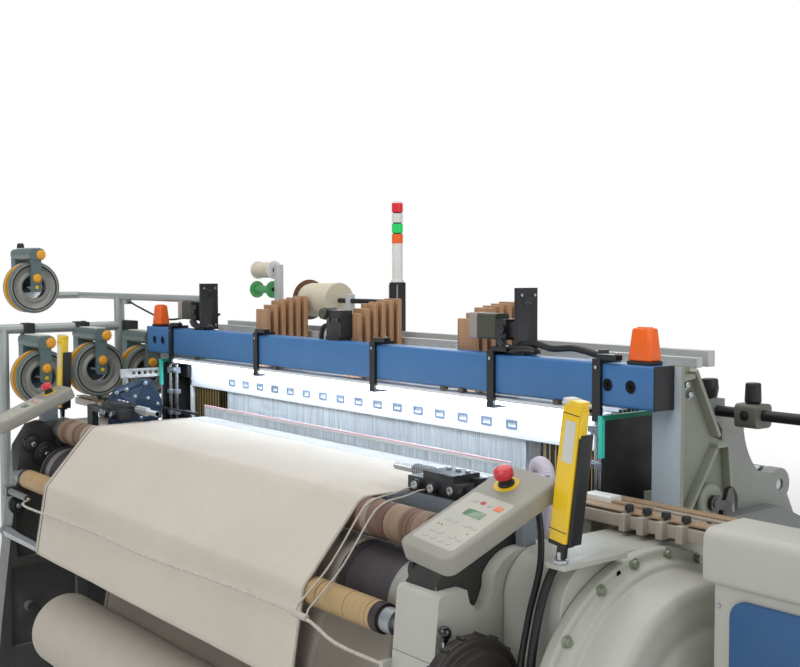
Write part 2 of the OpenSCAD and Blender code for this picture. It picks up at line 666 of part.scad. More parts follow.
// Front cover over the right side frame's corner: front, right and top walls
cover_back = -350;
cover_low = 600;
cover_top = 905;
cover_outline = concat([[-698, cover_low], [-675, 832], [-668, 840], [-600, 842], [-592, 812]],
    arc([-560, 812], 22, 200, 340, 6), [[-528, 830]], arc([-440, cover_top - 100], 100, 150, 90, 8),
    [[cover_back, cover_top], [cover_back, cover_low]]);
inner_outline = [[-690, cover_low - 1], [-669, 826], [-606, 828], [-596, 782], [-524, 782], [-440, 885],
    [cover_back + 1, 890], [cover_back + 1, cover_low - 1]];
module front_cover() color("#d6d7d3") difference() {
    union() {
        difference() {
            profile_x(cover_x0, cover_x1) polygon(cover_outline);
            profile_x(cover_x0 - 1, cover_x1 - wall) polygon(inner_outline);
            // Clear of the side frame, which stands higher
            box([cover_x0 - 1, -654, cover_low - 1], [outer_x + 2, cover_back + 1, cover_top + 1]);
        }
        // Lug that the waste cord ends on
        box([cover_x0 - 12, -714, 656], [cover_x0 + 1, -686, 680]);
    }
    // Seam across the front wall
    box([cover_x0 - 1, -800, 703], [cover_x1 + 1, -685, 705]);
    rod_x(outer_x, cover_x1 + 1, wheel_c, wheel_shaft_r);
    rod_x(cover_x1 - 21, cover_x1 + 1, knob_c, knob_pin_r + run_gap);
}
// Drive housing between the side frame and the round cover
housing_x0 = cover_x1 + 1;
housing_x1 = 1445;
round_c = [-250, 560];
housing_outline = concat([[-500, 200]], arc([-400, 810], 100, 180, 90, 8),
    [[-60, 910], [-20, 870], [-20, 200]]);
module drive_housing() color("#cfd0cc") difference() {
    profile_x(housing_x0, housing_x1) polygon(housing_outline);
    profile_x(housing_x0 - 1, housing_x1 - wall) polygon([[-490, 199], [-490, 780], [-465, 820], [-400, 895],
        [-66, 895], [-30, 860], [-30, 199]]);
    // Clear of the upright's foot
    box([housing_x0 - 1, -8, 199], [housing_x1 + 1, 20, 960]);
}
// Round cover: stepped discs with six bolts on the rim
module disc_step(x0, x1, r) rod_x(x0, x1, round_c, r);
bolt_angles = [66, 84, 102, 120, 142, 168];
module round_cover() color("#d3d4d0") {
    $fn = 96;
    difference() {
        union() {
            disc_step(housing_x1, housing_x1 + 32, round_r);
            disc_step(housing_x1 + 32, housing_x1 + 60, round_r - 26);
            disc_step(housing_x1 + 60, housing_x1 + 150, round_r - 40);
            disc_step(housing_x1 + 150, housing_x1 + 175, round_r - 60);
        }
        disc_step(housing_x1 - 1, housing_x1 + 140, round_r - 52);
        for (a = [110]) rod_x(housing_x1 + 20, housing_x1 + 33, round_c + (round_r - 13) * [cos(a), sin(a)], 6);
    }
    for (a = bolt_angles) rod_x(housing_x1 + 32, housing_x1 + 42,
        round_c + (round_r - 13) * [cos(a), sin(a)], 8, $fn = 16);
}
// Boxes at the two ends, with a rounded hood in front
bridge_x0 = housing_x1 + 175;
box_x0 = bridge_x0 + 70;
box_x1 = box_x0 + 300;
// The left box ends at the foot of the feeders' stand
stand_x = -reach_x - 380;
stand_foot = 90;
left_box_x1 = -stand_x - stand_foot;
left_box_top = 880;
box_y0 = -352;
box_y1 = 80;
hood_z0 = 922;
hood_z1 = 1006;
panel_top = 880;
module end_box() {
    difference() {
        union() {
            box([box_x0, box_y0 + 14, foot_t], [box_x1, box_y1, hood_z0 - 22]);
            profile_x(box_x0 - 18, box_x1) polygon(concat([[box_y0 + 20, hood_z0 - 22]],
                arc([box_y0 + 14, hood_z0 - 8], 14, 270, 180, 4),
                arc([box_y0 + 26, hood_z1 - 26], 26, 180, 90, 6),
                [[box_y0 + 128, hood_z1 + 2], [box_y0 + 150, hood_z1 - 14], [box_y0 + 150, hood_z0 - 22]]));
            box([box_x0 + 20, box_y0 + 30, 0], [box_x1 - 20, box_y1 - 20, foot_t]);
        }
        box([box_x0 + wall, box_y0 + 14 + wall, foot_t + wall], [box_x1 - wall, box_y1 - wall, hood_z0 - 30]);
    }
}
module left_box() difference() {
    box([-left_box_x1, -330, 0], [-outer_x, 0, left_box_top]);
    box([wall - left_box_x1, wall - 330, -1], [wall - outer_x, -wall, left_box_top - wall]);
}
module end_boxes() color("#d2d3d1") {
    end_box();
    // Bridge from the end box to the round cover
    box([bridge_x0, -180, 200], [box_x0, 60, 860]);
    left_box();
}
module end_panel() color("#3f73b3")
    box([box_x0 + 40, box_y0 + 4, 120], [box_x1 - 30, box_y0 + 14, panel_top]);
// Bolted plate and the perforated rail at the left side
left_plate_x = -1104;
module bolted_plate() color("#4e6683") {
    profile_x(left_plate_x - 12, left_plate_x) polygon([[-321, weave_z - 40], [-318, 1015], [-290, 1050],
        [-180, 1080], [-140, 1072], [-100, 990], [-104, weave_z - 30]]);
    for (p = [[-290, 1030], [-170, 1060], [-118, 975], [-300, 940], [-230, 965], [-130, 930]])
        rod_x(left_plate_x, left_plate_x + 5, p, 6, $fn = 16);
    box([-frame_x - 20, -300, frame_top], [left_plate_x - 12, -260, weave_z - 10]);
    box([-frame_x - 20, -150, frame_top], [left_plate_x - 12, -110, weave_z - 10]);
}
perf_x = -frame_x - 26;
module perforated_rail() color("#d8dadb") difference() {
    union() {
        box([perf_x - 4, -240, 1078], [perf_x, 40, 1114]);
        for (y = [-216, 24]) box([perf_x - 20, y - 8, frame_top], [perf_x - 4, y + 8, 1108]);
    }
    for (i = [0:7]) box([perf_x - 5, -190 + i * 24, 1090], [perf_x + 1, -178 + i * 24, 1102]);
}

// Consoles on tilted brackets
console_tilt = 23;
console_roll = 5;
right_console = [1372, -646, 1012];
left_console = [-1172, -600, 985];
button_back = console_l / 2 - 62;
button_side = -16;
module console_shape() {
    difference() {
        hull() for (sx = [-1, 1]) for (sy = [-1, 1])
            translate([sx * (console_w / 2 - 22), sy * (console_l / 2 - 22), -console_t / 2])
                cylinder(h = console_t, r = 22, $fn = 32);
        translate([-20, 30 - console_l / 2, console_t / 2 - 2]) translate([-36, 0, 0]) cube([112, 160, 3]);
        translate([button_side, button_back, -console_t / 2 - 1]) cylinder(h = console_t + 2, r = stem_r + 0.3);
    }
}
module console_at(c, roll) translate(c) rotate([console_tilt, roll, 0]) children();
module consoles() color("#b3b4b0") {
    console_at(right_console, console_roll) console_shape();
    console_at(left_console, 0) console_shape();
    // Brackets down to the cover and to the left frame
    box([outer_x + 8, -436, cover_top], [cover_x1 - 2, -400, 1062]);
    box([outer_x + 8, -520, 1040], [1316, -400, 1062]);
    box([-1200, -560, weave_z - 15], [-1160, -500, 1002]);
}
stem_r = 14;
button_gap = 4;
module stop_button() {
    top = console_t / 2 + stop_travel + 12;
    translate([button_side, button_back, -8]) cylinder(h = top + 9, r = stem_r);
    translate([button_side, button_back, top]) cylinder(h = 18, r = stop_r);
    translate([button_side, button_back, top + 18]) cylinder(h = 5, r = stop_r - 5);
}
module right_stop_button() color("#d4303a") console_at(right_console, console_roll) stop_button();
module left_stop_button() color("#d4303a") console_at(left_console, 0) stop_button();

// Light curtains: a yellow bar with a dark backing plate on a short stem
curtain_l = 290;
module curtain() {
    translate([-26, -18, 0]) cube([46, 30, curtain_l]);
    translate([20, -14, 6]) cube([8, 44, curtain_l - 24]);
    translate([-10, -8, -28]) cube([20, 14, 28]);
}
module light_curtains() color("#e6b800") {
    translate([1470, -520, 960]) rotate([0, 8, 0]) curtain();
    translate([-1297, -428, 962]) rotate([0, 5, 0]) curtain();
    // Stems on brackets that stand on the housing and on the left end box
    rod_z(920, 946, 1465, -521, 9);
    box([1430, -532, 910], [1484, -344, 922]);
    rod_z(888, 946, -1300, -429, 9);
    box([-1316, -440, left_box_top], [-1284, -280, left_box_top + 10]);
}

// Hand controls: wheel, knob lever and the clamp lever on the right upright
wheel_c = [-640, 640];
wheel_shaft_r = 12;
wheel_x = cover_x1 + 36;
module handwheel() color("#1d1f20") difference() {
    union() {
        rod_x(wheel_x, wheel_x + 34, wheel_c, wheel_r);
        rod_x(wheel_x + 34, wheel_x + 52, wheel_c, wheel_r - 26);
        rod_x(wheel_x + 52, wheel_x + 72, wheel_c, 38);
        rod_x(cover_x1 + 12, wheel_x, wheel_c, 30);
    }
    rod_x(cover_x1 + 11, wheel_x + 20, wheel_c, wheel_shaft_r + run_gap);
    for (a = [0:60:300]) rod_x(wheel_x - 1, wheel_x + 60, wheel_c + (wheel_r + 4) * [cos(a + 30), sin(a + 30)], 12);
}
knob_c = [-676, 700];
knob_pin_r = 5;
module knob_lever() color("#1d1f20") {
    x = cover_x1 + 18;
    rod_x(x - 12, x + 6, knob_c, 12);
    rod_z(knob_c[1], knob_c[1] + 62, x, knob_c[0], 5);
    translate([x, knob_c[0], knob_c[1] + 72]) sphere(r = 15);
    rod_x(cover_x1 - 20, x - 11, knob_c, knob_pin_r);
}
lever_pin_r = 12;
module clamp_lever() color("#232527") {
    x = upright_x1 + rib_rise + 4;
    rod_x(x - 20, x + 14, boss_c, lever_pin_r);
    rod_x(x + 0.4, x + 12, boss_c, 20);
    profile_x(x + 2, x + 14) polygon([[boss_c[0], boss_c[1] + 8], [boss_c[0] + 34, boss_c[1] + 4],
        [boss_c[0] + 44, boss_c[1] + 30], [boss_c[0] + 62, boss_c[1] + 34], [boss_c[0] + 64, boss_c[1] - 6],
        [boss_c[0] + 44, boss_c[1] - 40], [boss_c[0] + 18, boss_c[1] - 52], [boss_c[0] + 24, boss_c[1] - 20],
        [boss_c[0], boss_c[1] - 10]]);
}

// Hose and cables at the right side, kept clear of everything that moves
hose_points = [[1130, -250, 962], [1134, -262, 1010], [1170, -290, 1052], [1222, -318, 1050],
    [1262, -345, 1000], [1268, -356, 930]];
module suction_hose() color("#cfc8d2") {
    tube(smooth(hose_points, 3), 19, 10);
    rod_z(frame_top, 962, 1168, -250, 16);
    box([1112, -268, 944], [1184, -232, 961]);
}
cable_a = [[1316, -440, 1050], [1330, -440, 1050], [1384, -446, 1010], [1412, -462, 930],
    [1414, -500, 880], [1414, -530, 810], [1412, -550, 700], [1410, -550, 540], [1410, -544, 420]];
cable_b = [[1316, -470, 1050], [1326, -470, 1050], [1362, -478, 990], [1384, -496, 900],
    [1388, -532, 800], [1386, -556, 680], [1384, -556, 540], [1384, -544, 420]];
module control_cables() color("#191b1d") {
    tube(smooth(cable_a, 4), 9, 8);
    tube(smooth(cable_b, 4), 7, 8);
    box([1370, -566, 380], [1430, -500, 420]);
}

// Selvedge devices on the top beam: a plate, a motor and a foot
module leno_device(x, flip) translate([x, 0, 0]) {
    box([-6, -34, beam_top], [6, 40, 1449]);
    box([flip * 82 - 40, -30, beam_top + 36], [flip * 82 + 40, 22, beam_top + 92]);
    box([min(0, flip * 46), -20, beam_top + 44], [max(0, flip * 46), 12, beam_top + 84]);
    rod_x(min(flip * 6, flip * 20), max(flip * 6, flip * 20), [4, beam_top + 120], 26);
    box([-36, -40, beam_top], [36, 8, beam_top + 14]);
}
module leno_devices() color("#212427") {
    leno_device(829, -1);
    leno_device(-905, -1);
    // Gland that the right cable ends in
    box([beam_x - 192, -34, beam_top], [beam_x - 182, -6, beam_top + 28]);
    translate([-24, 0, 0]) {
        box([-34, -30, beam_top + 12], [46, 16, beam_top + 96]);
        box([-30, -36, beam_top], [40, 8, beam_top + 12]);
        rod_y(-30, 12, -46, beam_top + 84, 20);
    }
}
leno_run = [[835, -22, 1300], [850, -22, 1300], [900, -26, 1304], [960, -30, 1296], [1030, -26, 1300],
    [1100, -20, 1288], [1118, -20, 1288]];
middle_run = [[-58, -8, 1320], [-70, -8, 1320], [-100, -12, 1312], [-108, -16, 1286], [-108, -16, beam_top]];
left_run = [[-905, 40, 1330], [-905, 50, 1330], [-1000, 44, 1300], [-1120, 30, 1310], [-1300, 14, 1300],
    [-1480, -8, 1342], [-1570, -10, 1364], [-1590, -10, 1364]];
module leno_cables() color("#1e2022") {
    tube(smooth(leno_run, 3), 9, 8);
    tube(smooth(middle_run, 3), 8, 8);
    tube(smooth(left_run, 3), 4, 8);
}

// Bobbins for the selvedge threads on a stand behind the healds
module bobbin(x, y, z, l, r, f) {
    rod_x(x - l / 2, x + l / 2, [y, z], r);
    both = [x - l / 2 - 5, x + l / 2];
    for (a = both) rod_x(a, a + 5, [y, z], f);
}
module bobbin_stand() color("#d9d2bd") {
    y = rear_rail_y + rear_rail_t / 2;
    box([-850, rear_rail_y, rail_tops[1]], [-820, rear_rail_y + rear_rail_t, 1522]);
    bobbin(-930, y, 1501, 116, 30, 36);
    bobbin(-940, y, 1423, 116, 14, 34);
    rod_x(-1000, -850, [y, 1501], 8);
    rod_x(-1010, -850, [y, 1423], 8);
    box([-366, rear_rail_y, rail_tops[1]], [-340, rear_rail_y + rear_rail_t, 1412]);
    bobbin(-520, y, 1388, 190, 62, 76);
    rod_x(-640, post_x - 0.3, [y, 1388], 9);
}

// Weft feeders on a stand at the left end
feeders = [[-reach_x - 220, -420, 1068], [-reach_x - 190, -196, 1092], [-reach_x - 166, 14, 1074],
    [-reach_x - 630, -300, 1428]];
stand_z = 1200;
stand_ys = [-520, -10];
rail_z = stand_z + 60;
pipe_x0 = stand_x - 440;
pipe_x1 = -925;
pipe_y = -10;
pipe_z = 1388;
module feeder_stand() color("#c5c9c8") {
    for (y = stand_ys) {
        rod_z(foot_t - 1, y == pipe_y ? pipe_z : rail_z, stand_x, y, 22);
        box([stand_x - stand_foot, y - 50, 0], [stand_x + stand_foot, y + 50, foot_t]);
    }
    rod_y(-560, 60, stand_x, rail_z, 20);
    rod_x(pipe_x0, pipe_x1, [pipe_y, pipe_z], 14);
    rod_y(-330, pipe_y, pipe_x0, pipe_z, 16);
    rod_z(pipe_z, feeders[3][2] + 126, pipe_x0, feeders[3][1], 14);
    // Clip that the left cable ends on
    box([stand_x + 78, -22, 1356], [stand_x + 100, 2, pipe_z - 8]);
}
feeder_axle_r = 9;
module feeder_body(c) translate(c) {
    rod_x(-170, -62, [0, 0], 66);
    rod_x(-62, 44, [0, 0], feeder_axle_r);
    // Arm over the drum, its front leg and the tension knobs
    box([-170, -26, 62], [-150, 26, 150]);
    box([-170, -26, 126], [60, 26, 156]);
    box([34, -16, -14], [48, 16, 128]);
    rod_x(48, 66, [18, 142], 15);
    rod_x(48, 64, [0, 40], 14);
    rod_z(156, 196, -140, 0, 18);
}
module feeder_bodies() color("#6f8a8c") difference() {
    union() {
        for (c = feeders) feeder_body(c);
        for (i = [0:2]) box([stand_x - 24, feeders[i][1] - 20, feeders[i][2] + 128],
            [feeders[i][0] - 120, feeders[i][1] + 20, rail_z + 24]);
        box([pipe_x0 - 20, feeders[3][1] - 20, feeders[3][2] + 126],
            [feeders[3][0] - 160, feeders[3][1] + 20, feeders[3][2] + 156]);
    }
    // The clamps close round the stand's rail and rear post
    rod_y(-561, 61, stand_x, rail_z, 20);
    rod_z(foot_t, pipe_z + 1, stand_x, pipe_y, 22);
}
module feeder_disc(c) translate(c) difference() {
    union() {
        rod_x(-60, -48, [0, 0], feeder_r);
        rod_x(-50, 6, [0, 0], drum_r);
        rod_x(6, 26, [0, 0], feeder_r);
    }
    rod_x(-61, 45, [0, 0], feeder_axle_r + run_gap);
    rod_x(-20, 27, [0, 0], drum_r - 12);
    difference() {
        rod_x(18, 27, [0, 0], feeder_r - 8);
        rod_x(17, 28, [0, 0], drum_r + 14);
    }
}
module feeder_disc_1() color("#9aa0a0") feeder_disc(feeders[0]);
module feeder_disc_2() color("#9aa0a0") feeder_disc(feeders[1]);
module feeder_disc_3() color("#9aa0a0") feeder_disc(feeders[2]);
module feeder_disc_4() color("#9aa0a0") feeder_disc(feeders[3]);

side_frames();
uprights();
cross_members();
top_beam();
beam_end_caps();
beam_lamps();
lamp_hooks();
light_bar();
top_rails();
signal_tower();
heald_guards();
cloth();
warp_sheet();
loose_cords();
consoles();
light_curtains();
front_cover();
drive_housing();
round_cover();
end_boxes();
end_panel();
bolted_plate();
perforated_rail();
temples();
rapier_guides();
suction_hose();
control_cables();
leno_devices();
leno_cables();
bobbin_stand();
feeder_stand();
feeder_bodies();
feeder_disc_1();
feeder_disc_2();
feeder_disc_3();
feeder_disc_4();
whip_arms();
drop_wires();
sley();
reed();
heald_frame_1();
heald_frame_2();
heald_frame_3();
heald_frame_4();
heald_frame_5();
heald_frame_6();
breast_roller();
guide_roller();
turning_roller();
takeup_roller();
cloth_roll();
whip_roller();
warp_beam();
left_rapier();
right_rapier();
left_stop_button();
right_stop_button();
handwheel();
knob_lever();
clamp_lever();
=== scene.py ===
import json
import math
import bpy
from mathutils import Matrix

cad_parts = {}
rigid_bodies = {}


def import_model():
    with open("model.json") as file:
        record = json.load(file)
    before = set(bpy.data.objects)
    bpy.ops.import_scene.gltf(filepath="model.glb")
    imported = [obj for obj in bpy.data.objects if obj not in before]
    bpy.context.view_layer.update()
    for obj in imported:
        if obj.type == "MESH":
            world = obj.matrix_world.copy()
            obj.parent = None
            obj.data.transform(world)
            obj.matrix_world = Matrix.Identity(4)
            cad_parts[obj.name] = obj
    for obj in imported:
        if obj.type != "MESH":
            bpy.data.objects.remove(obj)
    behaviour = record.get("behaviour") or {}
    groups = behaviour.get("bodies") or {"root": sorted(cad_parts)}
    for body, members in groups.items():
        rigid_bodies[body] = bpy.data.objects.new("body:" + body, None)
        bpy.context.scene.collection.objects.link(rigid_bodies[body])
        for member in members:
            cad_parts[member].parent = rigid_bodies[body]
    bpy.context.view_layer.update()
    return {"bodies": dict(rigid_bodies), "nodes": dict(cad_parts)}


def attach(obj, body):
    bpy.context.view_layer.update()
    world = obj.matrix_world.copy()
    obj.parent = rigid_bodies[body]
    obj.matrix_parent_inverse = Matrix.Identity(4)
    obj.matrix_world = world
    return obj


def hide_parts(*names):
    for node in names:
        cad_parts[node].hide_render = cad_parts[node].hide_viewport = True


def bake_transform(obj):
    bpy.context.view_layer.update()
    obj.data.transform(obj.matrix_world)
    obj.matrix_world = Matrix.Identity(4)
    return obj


bl_info = {
    "name": "Power loom",
    "version": (1, 0, 0),
    "blender": (4, 5, 0),
    "location": "View3D > Sidebar > Loom",
    "description": "Dresses the packed frame of a rapier weaving machine",
    "category": "Add Mesh",
}

import bmesh
import bpy
import numpy as np
from bpy.props import FloatProperty, FloatVectorProperty, PointerProperty
from mathutils import Matrix, Vector

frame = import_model()
MM = 0.001
SIDES = (-1, 1)  # the left and the right side of the machine
TIP = 0.01  # radius where a turned profile meets its axis
WAVE = 6.283  # a wave texture's scale for one stripe per unit

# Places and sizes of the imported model, in millimetres
FELL_Y = -152
SHEET_Y = 470
MID_Z = 951.3
TAPE_Z = 953.5
FRAME_TOP = 860
GUIDE_FEET = ((1695, 1735, 900), (-1544, -1504, 880))
ROLLERS = {"breast": (-500, 905, 45), "guide": (-655, 745, 34), "turning": (-703, 545, 20),
           "takeup": (-500, 745, 100), "roll": (-620, 250, 124), "whip": (620, 905, 45),
           "beam": (650, 430, 240)}
SOFT_GAP = 1.3
HEALD_Y = [26 + 32 * k for k in range(6)]
FEEDERS = [(-1530, -420, 1068), (-1500, -196, 1092), (-1476, 14, 1074), (-1940, -300, 1428)]
CONSOLES = {"right": ((1372, -646, 1012), 23, 5), "left": ((-1172, -600, 985), 23, 0)}
CURTAINS = {"right": ((1470, -520, 960), 8), "left": ((-1297, -428, 962), 5)}
RNG = np.random.default_rng(7)


# Shapes: arrays of points and faces


class Shape:
    """Points in millimetres and faces, gathered from simple surfaces. Each face keeps a material number."""

    def __init__(self):
        self.points, self.faces, self.kinds, self.count = [], [], [], 0

    def add(self, points, faces, kind=0):
        """Takes points as rows of x, y, z and faces as lists of point numbers."""
        points = np.asarray(points, float).reshape(-1, 3)
        self.points.append(points)
        for face in faces:
            face = np.asarray(face) + self.count
            self.faces.extend(face.tolist())
            self.kinds.extend([kind] * len(face))
        self.count += len(points)
        return self

    def moved(self, matrix):
        """Moves every point gathered so far by a 4 by 4 matrix in millimetres."""
        m = np.array(matrix, float)
        self.points = [p @ m[:3, :3].T + m[:3, 3] for p in self.points]
        return self

    def join(self, other, matrix=Matrix()):
        """Adds another shape, moved by a matrix where one is given."""
        m = np.array(matrix, float)
        points = np.vstack(other.points) @ m[:3, :3].T + m[:3, 3]
        self.points.append(points)
        self.faces.extend([[i + self.count for i in f] for f in other.faces])
        self.kinds.extend(other.kinds)
        self.count += len(points)
        return self


def ring_faces(rings, sides, closed=False):
    """Quads between successive rings of points, joined side to side, with a many-sided cap at each end."""
    i = np.arange(rings if closed else rings - 1)[:, None]
    j = np.arange(sides)[None, :]
    a, b = i * sides, ((i + 1) % rings) * sides
    k = (j + 1) % sides
    quads = np.stack(np.broadcast_arrays(a + j, a + k, b + k, b + j), -1).reshape(-1, 4)
    if closed:
        return [quads]
    first = np.arange(sides)[::-1][None, :]
    return [quads, first, (np.arange(sides) + (rings - 1) * sides)[None, :]]


def loft(shape, rings, kind=0, closed=False):
    """Joins rings of points (rings, sides, 3) into one skin."""
    rings = np.asarray(rings, float)
    return shape.add(rings, ring_faces(len(rings), rings.shape[1], closed), kind)


def lathe(shape, profile, base=(0, 0, 0), axis="x", sides=48, kind=0, closed=False):
    """A profile of (distance along the axis, radius) turned about an axis through base: a point is
    base + distance * axis + radius * (cos a, sin a) in the plane across it."""
    p = np.asarray(profile, float)
    angle = np.arange(sides) * 2 * math.pi / sides
    c, s = np.cos(angle)[None], np.sin(angle)[None]
    d, r = p[:, :1], p[:, 1:]
    along = np.broadcast_to(d, (len(p), sides))
    order = {"x": (along, r * c, r * s), "y": (r * s, along, r * c), "z": (r * c, r * s, along)}[axis]
    return loft(shape, np.stack(order, -1) + np.array(base, float), kind, closed=closed)


def boxes(shape, low, high, kind=0):
    """Many boxes from rows of their lowest and highest corners."""
    low, high = np.asarray(low, float).reshape(-1, 3), np.asarray(high, float).reshape(-1, 3)
    pick = np.array([[0, 0, 0], [1, 0, 0], [1, 1, 0], [0, 1, 0], [0, 0, 1], [1, 0, 1], [1, 1, 1], [0, 1, 1]])
    points = low[:, None] + (high - low)[:, None] * pick[None]
    quads = np.array([[0, 3, 2, 1], [4, 5, 6, 7], [0, 1, 5, 4], [1, 2, 6, 5], [2, 3, 7, 6], [3, 0, 4, 7]])
    faces = (np.arange(len(low)) * 8)[:, None, None] + quads[None]
    return shape.add(points, [faces.reshape(-1, 4)], kind)


def slivers(shape, x, half, ys, zs, kind):
    """One thin upright box at every x: heddles, dents or drop wires."""
    low, high = ([x + sign * half, np.full(len(x), y), np.full(len(x), z)]
                 for sign, y, z in zip((-1, 1), ys, zs))
    return boxes(shape, np.stack(low, 1), np.stack(high, 1), kind)


def outline(w, h, r, n=5):
    """Points round a rectangle w by h with corners of radius r, counterclockwise."""
    r = min(r, w / 2 - 1e-3, h / 2 - 1e-3)
    a = np.linspace(0, math.pi / 2, n)
    corners = [(w / 2 - r, h / 2 - r, 0), (r - w / 2, h / 2 - r, 1), (r - w / 2, r - h / 2, 2),
               (w / 2 - r, r - h / 2, 3)]
    arcs = [(x, y, a + q * math.pi / 2) for x, y, q in corners]
    return np.vstack([np.stack([x + r * np.cos(v), y + r * np.sin(v)], 1) for x, y, v in arcs])


def slab(shape, w, h, z0, z1, corner, edge, kind=0, taper=0.0, middle=(0, 0)):
    """A block with rounded corners and rounded upper and lower edges: rings of outline points whose
    size shrinks with the sine of the edge's angle as the height nears either face."""
    rings = []
    steps = [0, 30, 60, 90] if edge > 0 else [90]
    for a in steps:
        rings.append((edge * (1 - math.sin(math.radians(a))), z0 + edge * (1 - math.cos(math.radians(a)))))
    for a in reversed(steps):
        rings.append((edge * (1 - math.sin(math.radians(a))), z1 - edge * (1 - math.cos(math.radians(a)))))
    skin = []
    for inset, z in rings:
        grow = taper * (z - z0) / (z1 - z0)
        flat = outline(w - 2 * inset - 2 * grow, h - 2 * inset - 2 * grow, max(corner - inset, 0.5))
        skin.append(np.column_stack([flat + np.array(middle), np.full(len(flat), z)]))
    return loft(shape, skin, kind)


def smooth_path(points, steps=6):
    """A Catmull-Rom curve through the points, with straight first and last pieces as in the source."""
    p = np.asarray(points, float)
    inner = p[1:-1]
    q = np.vstack([inner[:1], inner, inner[-1:]])
    t = np.arange(steps)[:, None] / steps
    rows = [p[:1]]
    for i in range(len(inner) - 1):
        a, b, c, d = q[i], q[i + 1], q[i + 2], q[i + 3]
        rows.append(0.5 * (2 * b + (c - a) * t + (2 * a - 5 * b + 4 * c - d) * t**2
                           + (3 * b - a - 3 * c + d) * t**3))
    return np.vstack(rows + [inner[-1:], p[-1:]])


def frames_along(path):
    """Two side directions at each point of a path, carried along it without twist."""
    t = np.gradient(path, axis=0)
    t /= np.linalg.norm(t, axis=1)[:, None]
    u = np.cross(t[0], [0, 0, 1.0] if abs(t[0][2]) < 0.9 else [1.0, 0, 0])
    sides = []
    for row in t:
        u = u - row * (u @ row)
        u /= np.linalg.norm(u)
        sides.append((u.copy(), np.cross(row, u)))
    return np.array(sides)


def tube(shape, path, radius, sides=10, kind=0):
    """A round section carried along a path: point + radius * (cos a * side + sin a * other side)."""
    path = np.asarray(path, float)
    fr = frames_along(path)
    a = np.arange(sides) * 2 * math.pi / sides
    r = np.broadcast_to(np.asarray(radius, float), (len(path),))[:, None, None]
    ring = np.cos(a)[None, :, None] * fr[:, :1] + np.sin(a)[None, :, None] * fr[:, 1:]
    return loft(shape, path[:, None] + r * ring, kind)


def prism(shape, outline_yz, x0, x1):
    """A side outline in y and z carried from x0 to x1."""
    flat = np.asarray(outline_yz, float)
    area = np.sum(flat[:, 0] * np.roll(flat[:, 1], -1) - flat[:, 1] * np.roll(flat[:, 0], -1))
    flat = flat if area > 0 else flat[::-1]
    return loft(shape, [np.column_stack([np.full(len(flat), x), flat]) for x in (x0, x1)])


def bolts(shape, places, axis="x", radius=8.0, height=6.0, kind=0, out=1):
    """Hexagon heads on round washers, each standing out from its place along the axis."""
    for place in places:
        lathe(shape, [(0, radius * 1.35), (out * 1.6, radius * 1.35)][:: out], place, axis, 20, kind)
        profile = [(out * 1.6, radius), (out * (height - 1), radius), (out * height, radius * 0.82)]
        lathe(shape, profile[:: out], place, axis, 6, kind)
    return shape


def tilt(place, degrees, roll=0.0):
    """A matrix that turns about X, then about Y, then moves to place."""
    m = Matrix.Rotation(math.radians(roll), 4, "Y") @ Matrix.Rotation(math.radians(degrees), 4, "X")
    return Matrix.Translation(place) @ m


# Materials


def linear(rgb):
    """Screen colour from 0 to 255 as linear light."""
    c = np.array(rgb[:3], float) / 255
    return tuple(np.where(c <= 0.04045, c / 12.92, ((c + 0.055) / 1.055) ** 2.4)) + (1.0,)


def grey(value):
    """One value on all three colour channels."""
    return value, value, value, 1


class Finish:
    """Builds one node material with a Principled shader and Object coordinates."""

    def __init__(self, name):
        self.mat = bpy.data.materials.new(name)
        self.mat.use_nodes = True
        self.tree = self.mat.node_tree
        self.shader = self.tree.nodes["Principled BSDF"]
        self.coords = self.new("ShaderNodeTexCoord").outputs["Object"]

    def new(self, kind, **values):
        node = self.tree.nodes.new(kind)
        for key, value in values.items():
            if hasattr(node, key):
                setattr(node, key, value)
            else:
                node.inputs[key.replace("_", " ").title()].default_value = value
        return node

    def link(self, a, b):
        self.tree.links.new(a, b)

    def stretch(self, scale):
        """Object coordinates scaled on each axis."""
        node = self.new("ShaderNodeMapping")
        node.inputs["Scale"].default_value = scale
        self.link(self.coords, node.inputs["Vector"])
        return node.outputs["Vector"]

    def noise(self, scale, detail=4.0, vector=None, rough=0.6):
        node = self.new("ShaderNodeTexNoise")
        node.inputs["Scale"].default_value = scale
        node.inputs["Detail"].default_value = detail
        node.inputs["Roughness"].default_value = rough
        self.link(vector or self.coords, node.inputs["Vector"])
        return node.outputs["Fac"]

    def ramp(self, value, stops, kind="LINEAR"):
        node = self.new("ShaderNodeValToRGB")
        node.color_ramp.interpolation = kind
        band = node.color_ramp.elements
        while len(band) < len(stops):
            band.new(0.5)
        for item, (place, color) in zip(band, stops):
            item.position, item.color = place, color
        self.link(value, node.inputs["Fac"])
        return node.outputs["Color"]

    def math(self, kind, a, b=None):
        node = self.new("ShaderNodeMath")
        node.operation = kind
        for socket, value in zip(node.inputs, (a, b)):
            if value is None:
                continue
            if isinstance(value, (int, float)):
                socket.default_value = value
            else:
                self.link(value, socket)
        return node.outputs[0]

    def mix(self, factor, a, b, blend="MIX"):
        node = self.new("ShaderNodeMix")
        node.data_type, node.blend_type = "RGBA", blend
        for socket, value in ((node.inputs[0], factor), (node.inputs[6], a), (node.inputs[7], b)):
            if isinstance(value, (int, float, tuple)):
                socket.default_value = value
            else:
                self.link(value, socket)
        return node.outputs[2]

    def bump(self, height, strength, distance=0.0005):
        node = self.new("ShaderNodeBump")
        node.inputs["Strength"].default_value = strength
        node.inputs["Distance"].default_value = distance
        self.link(height, node.inputs["Height"])
        previous = self.shader.inputs["Normal"].links
        if previous:
            self.link(previous[0].from_socket, node.inputs["Normal"])
        self.link(node.outputs["Normal"], self.shader.inputs["Normal"])

    def set(self, **values):
        for key, value in values.items():
            self.shader.inputs[key.replace("_", " ")].default_value = value
        return self


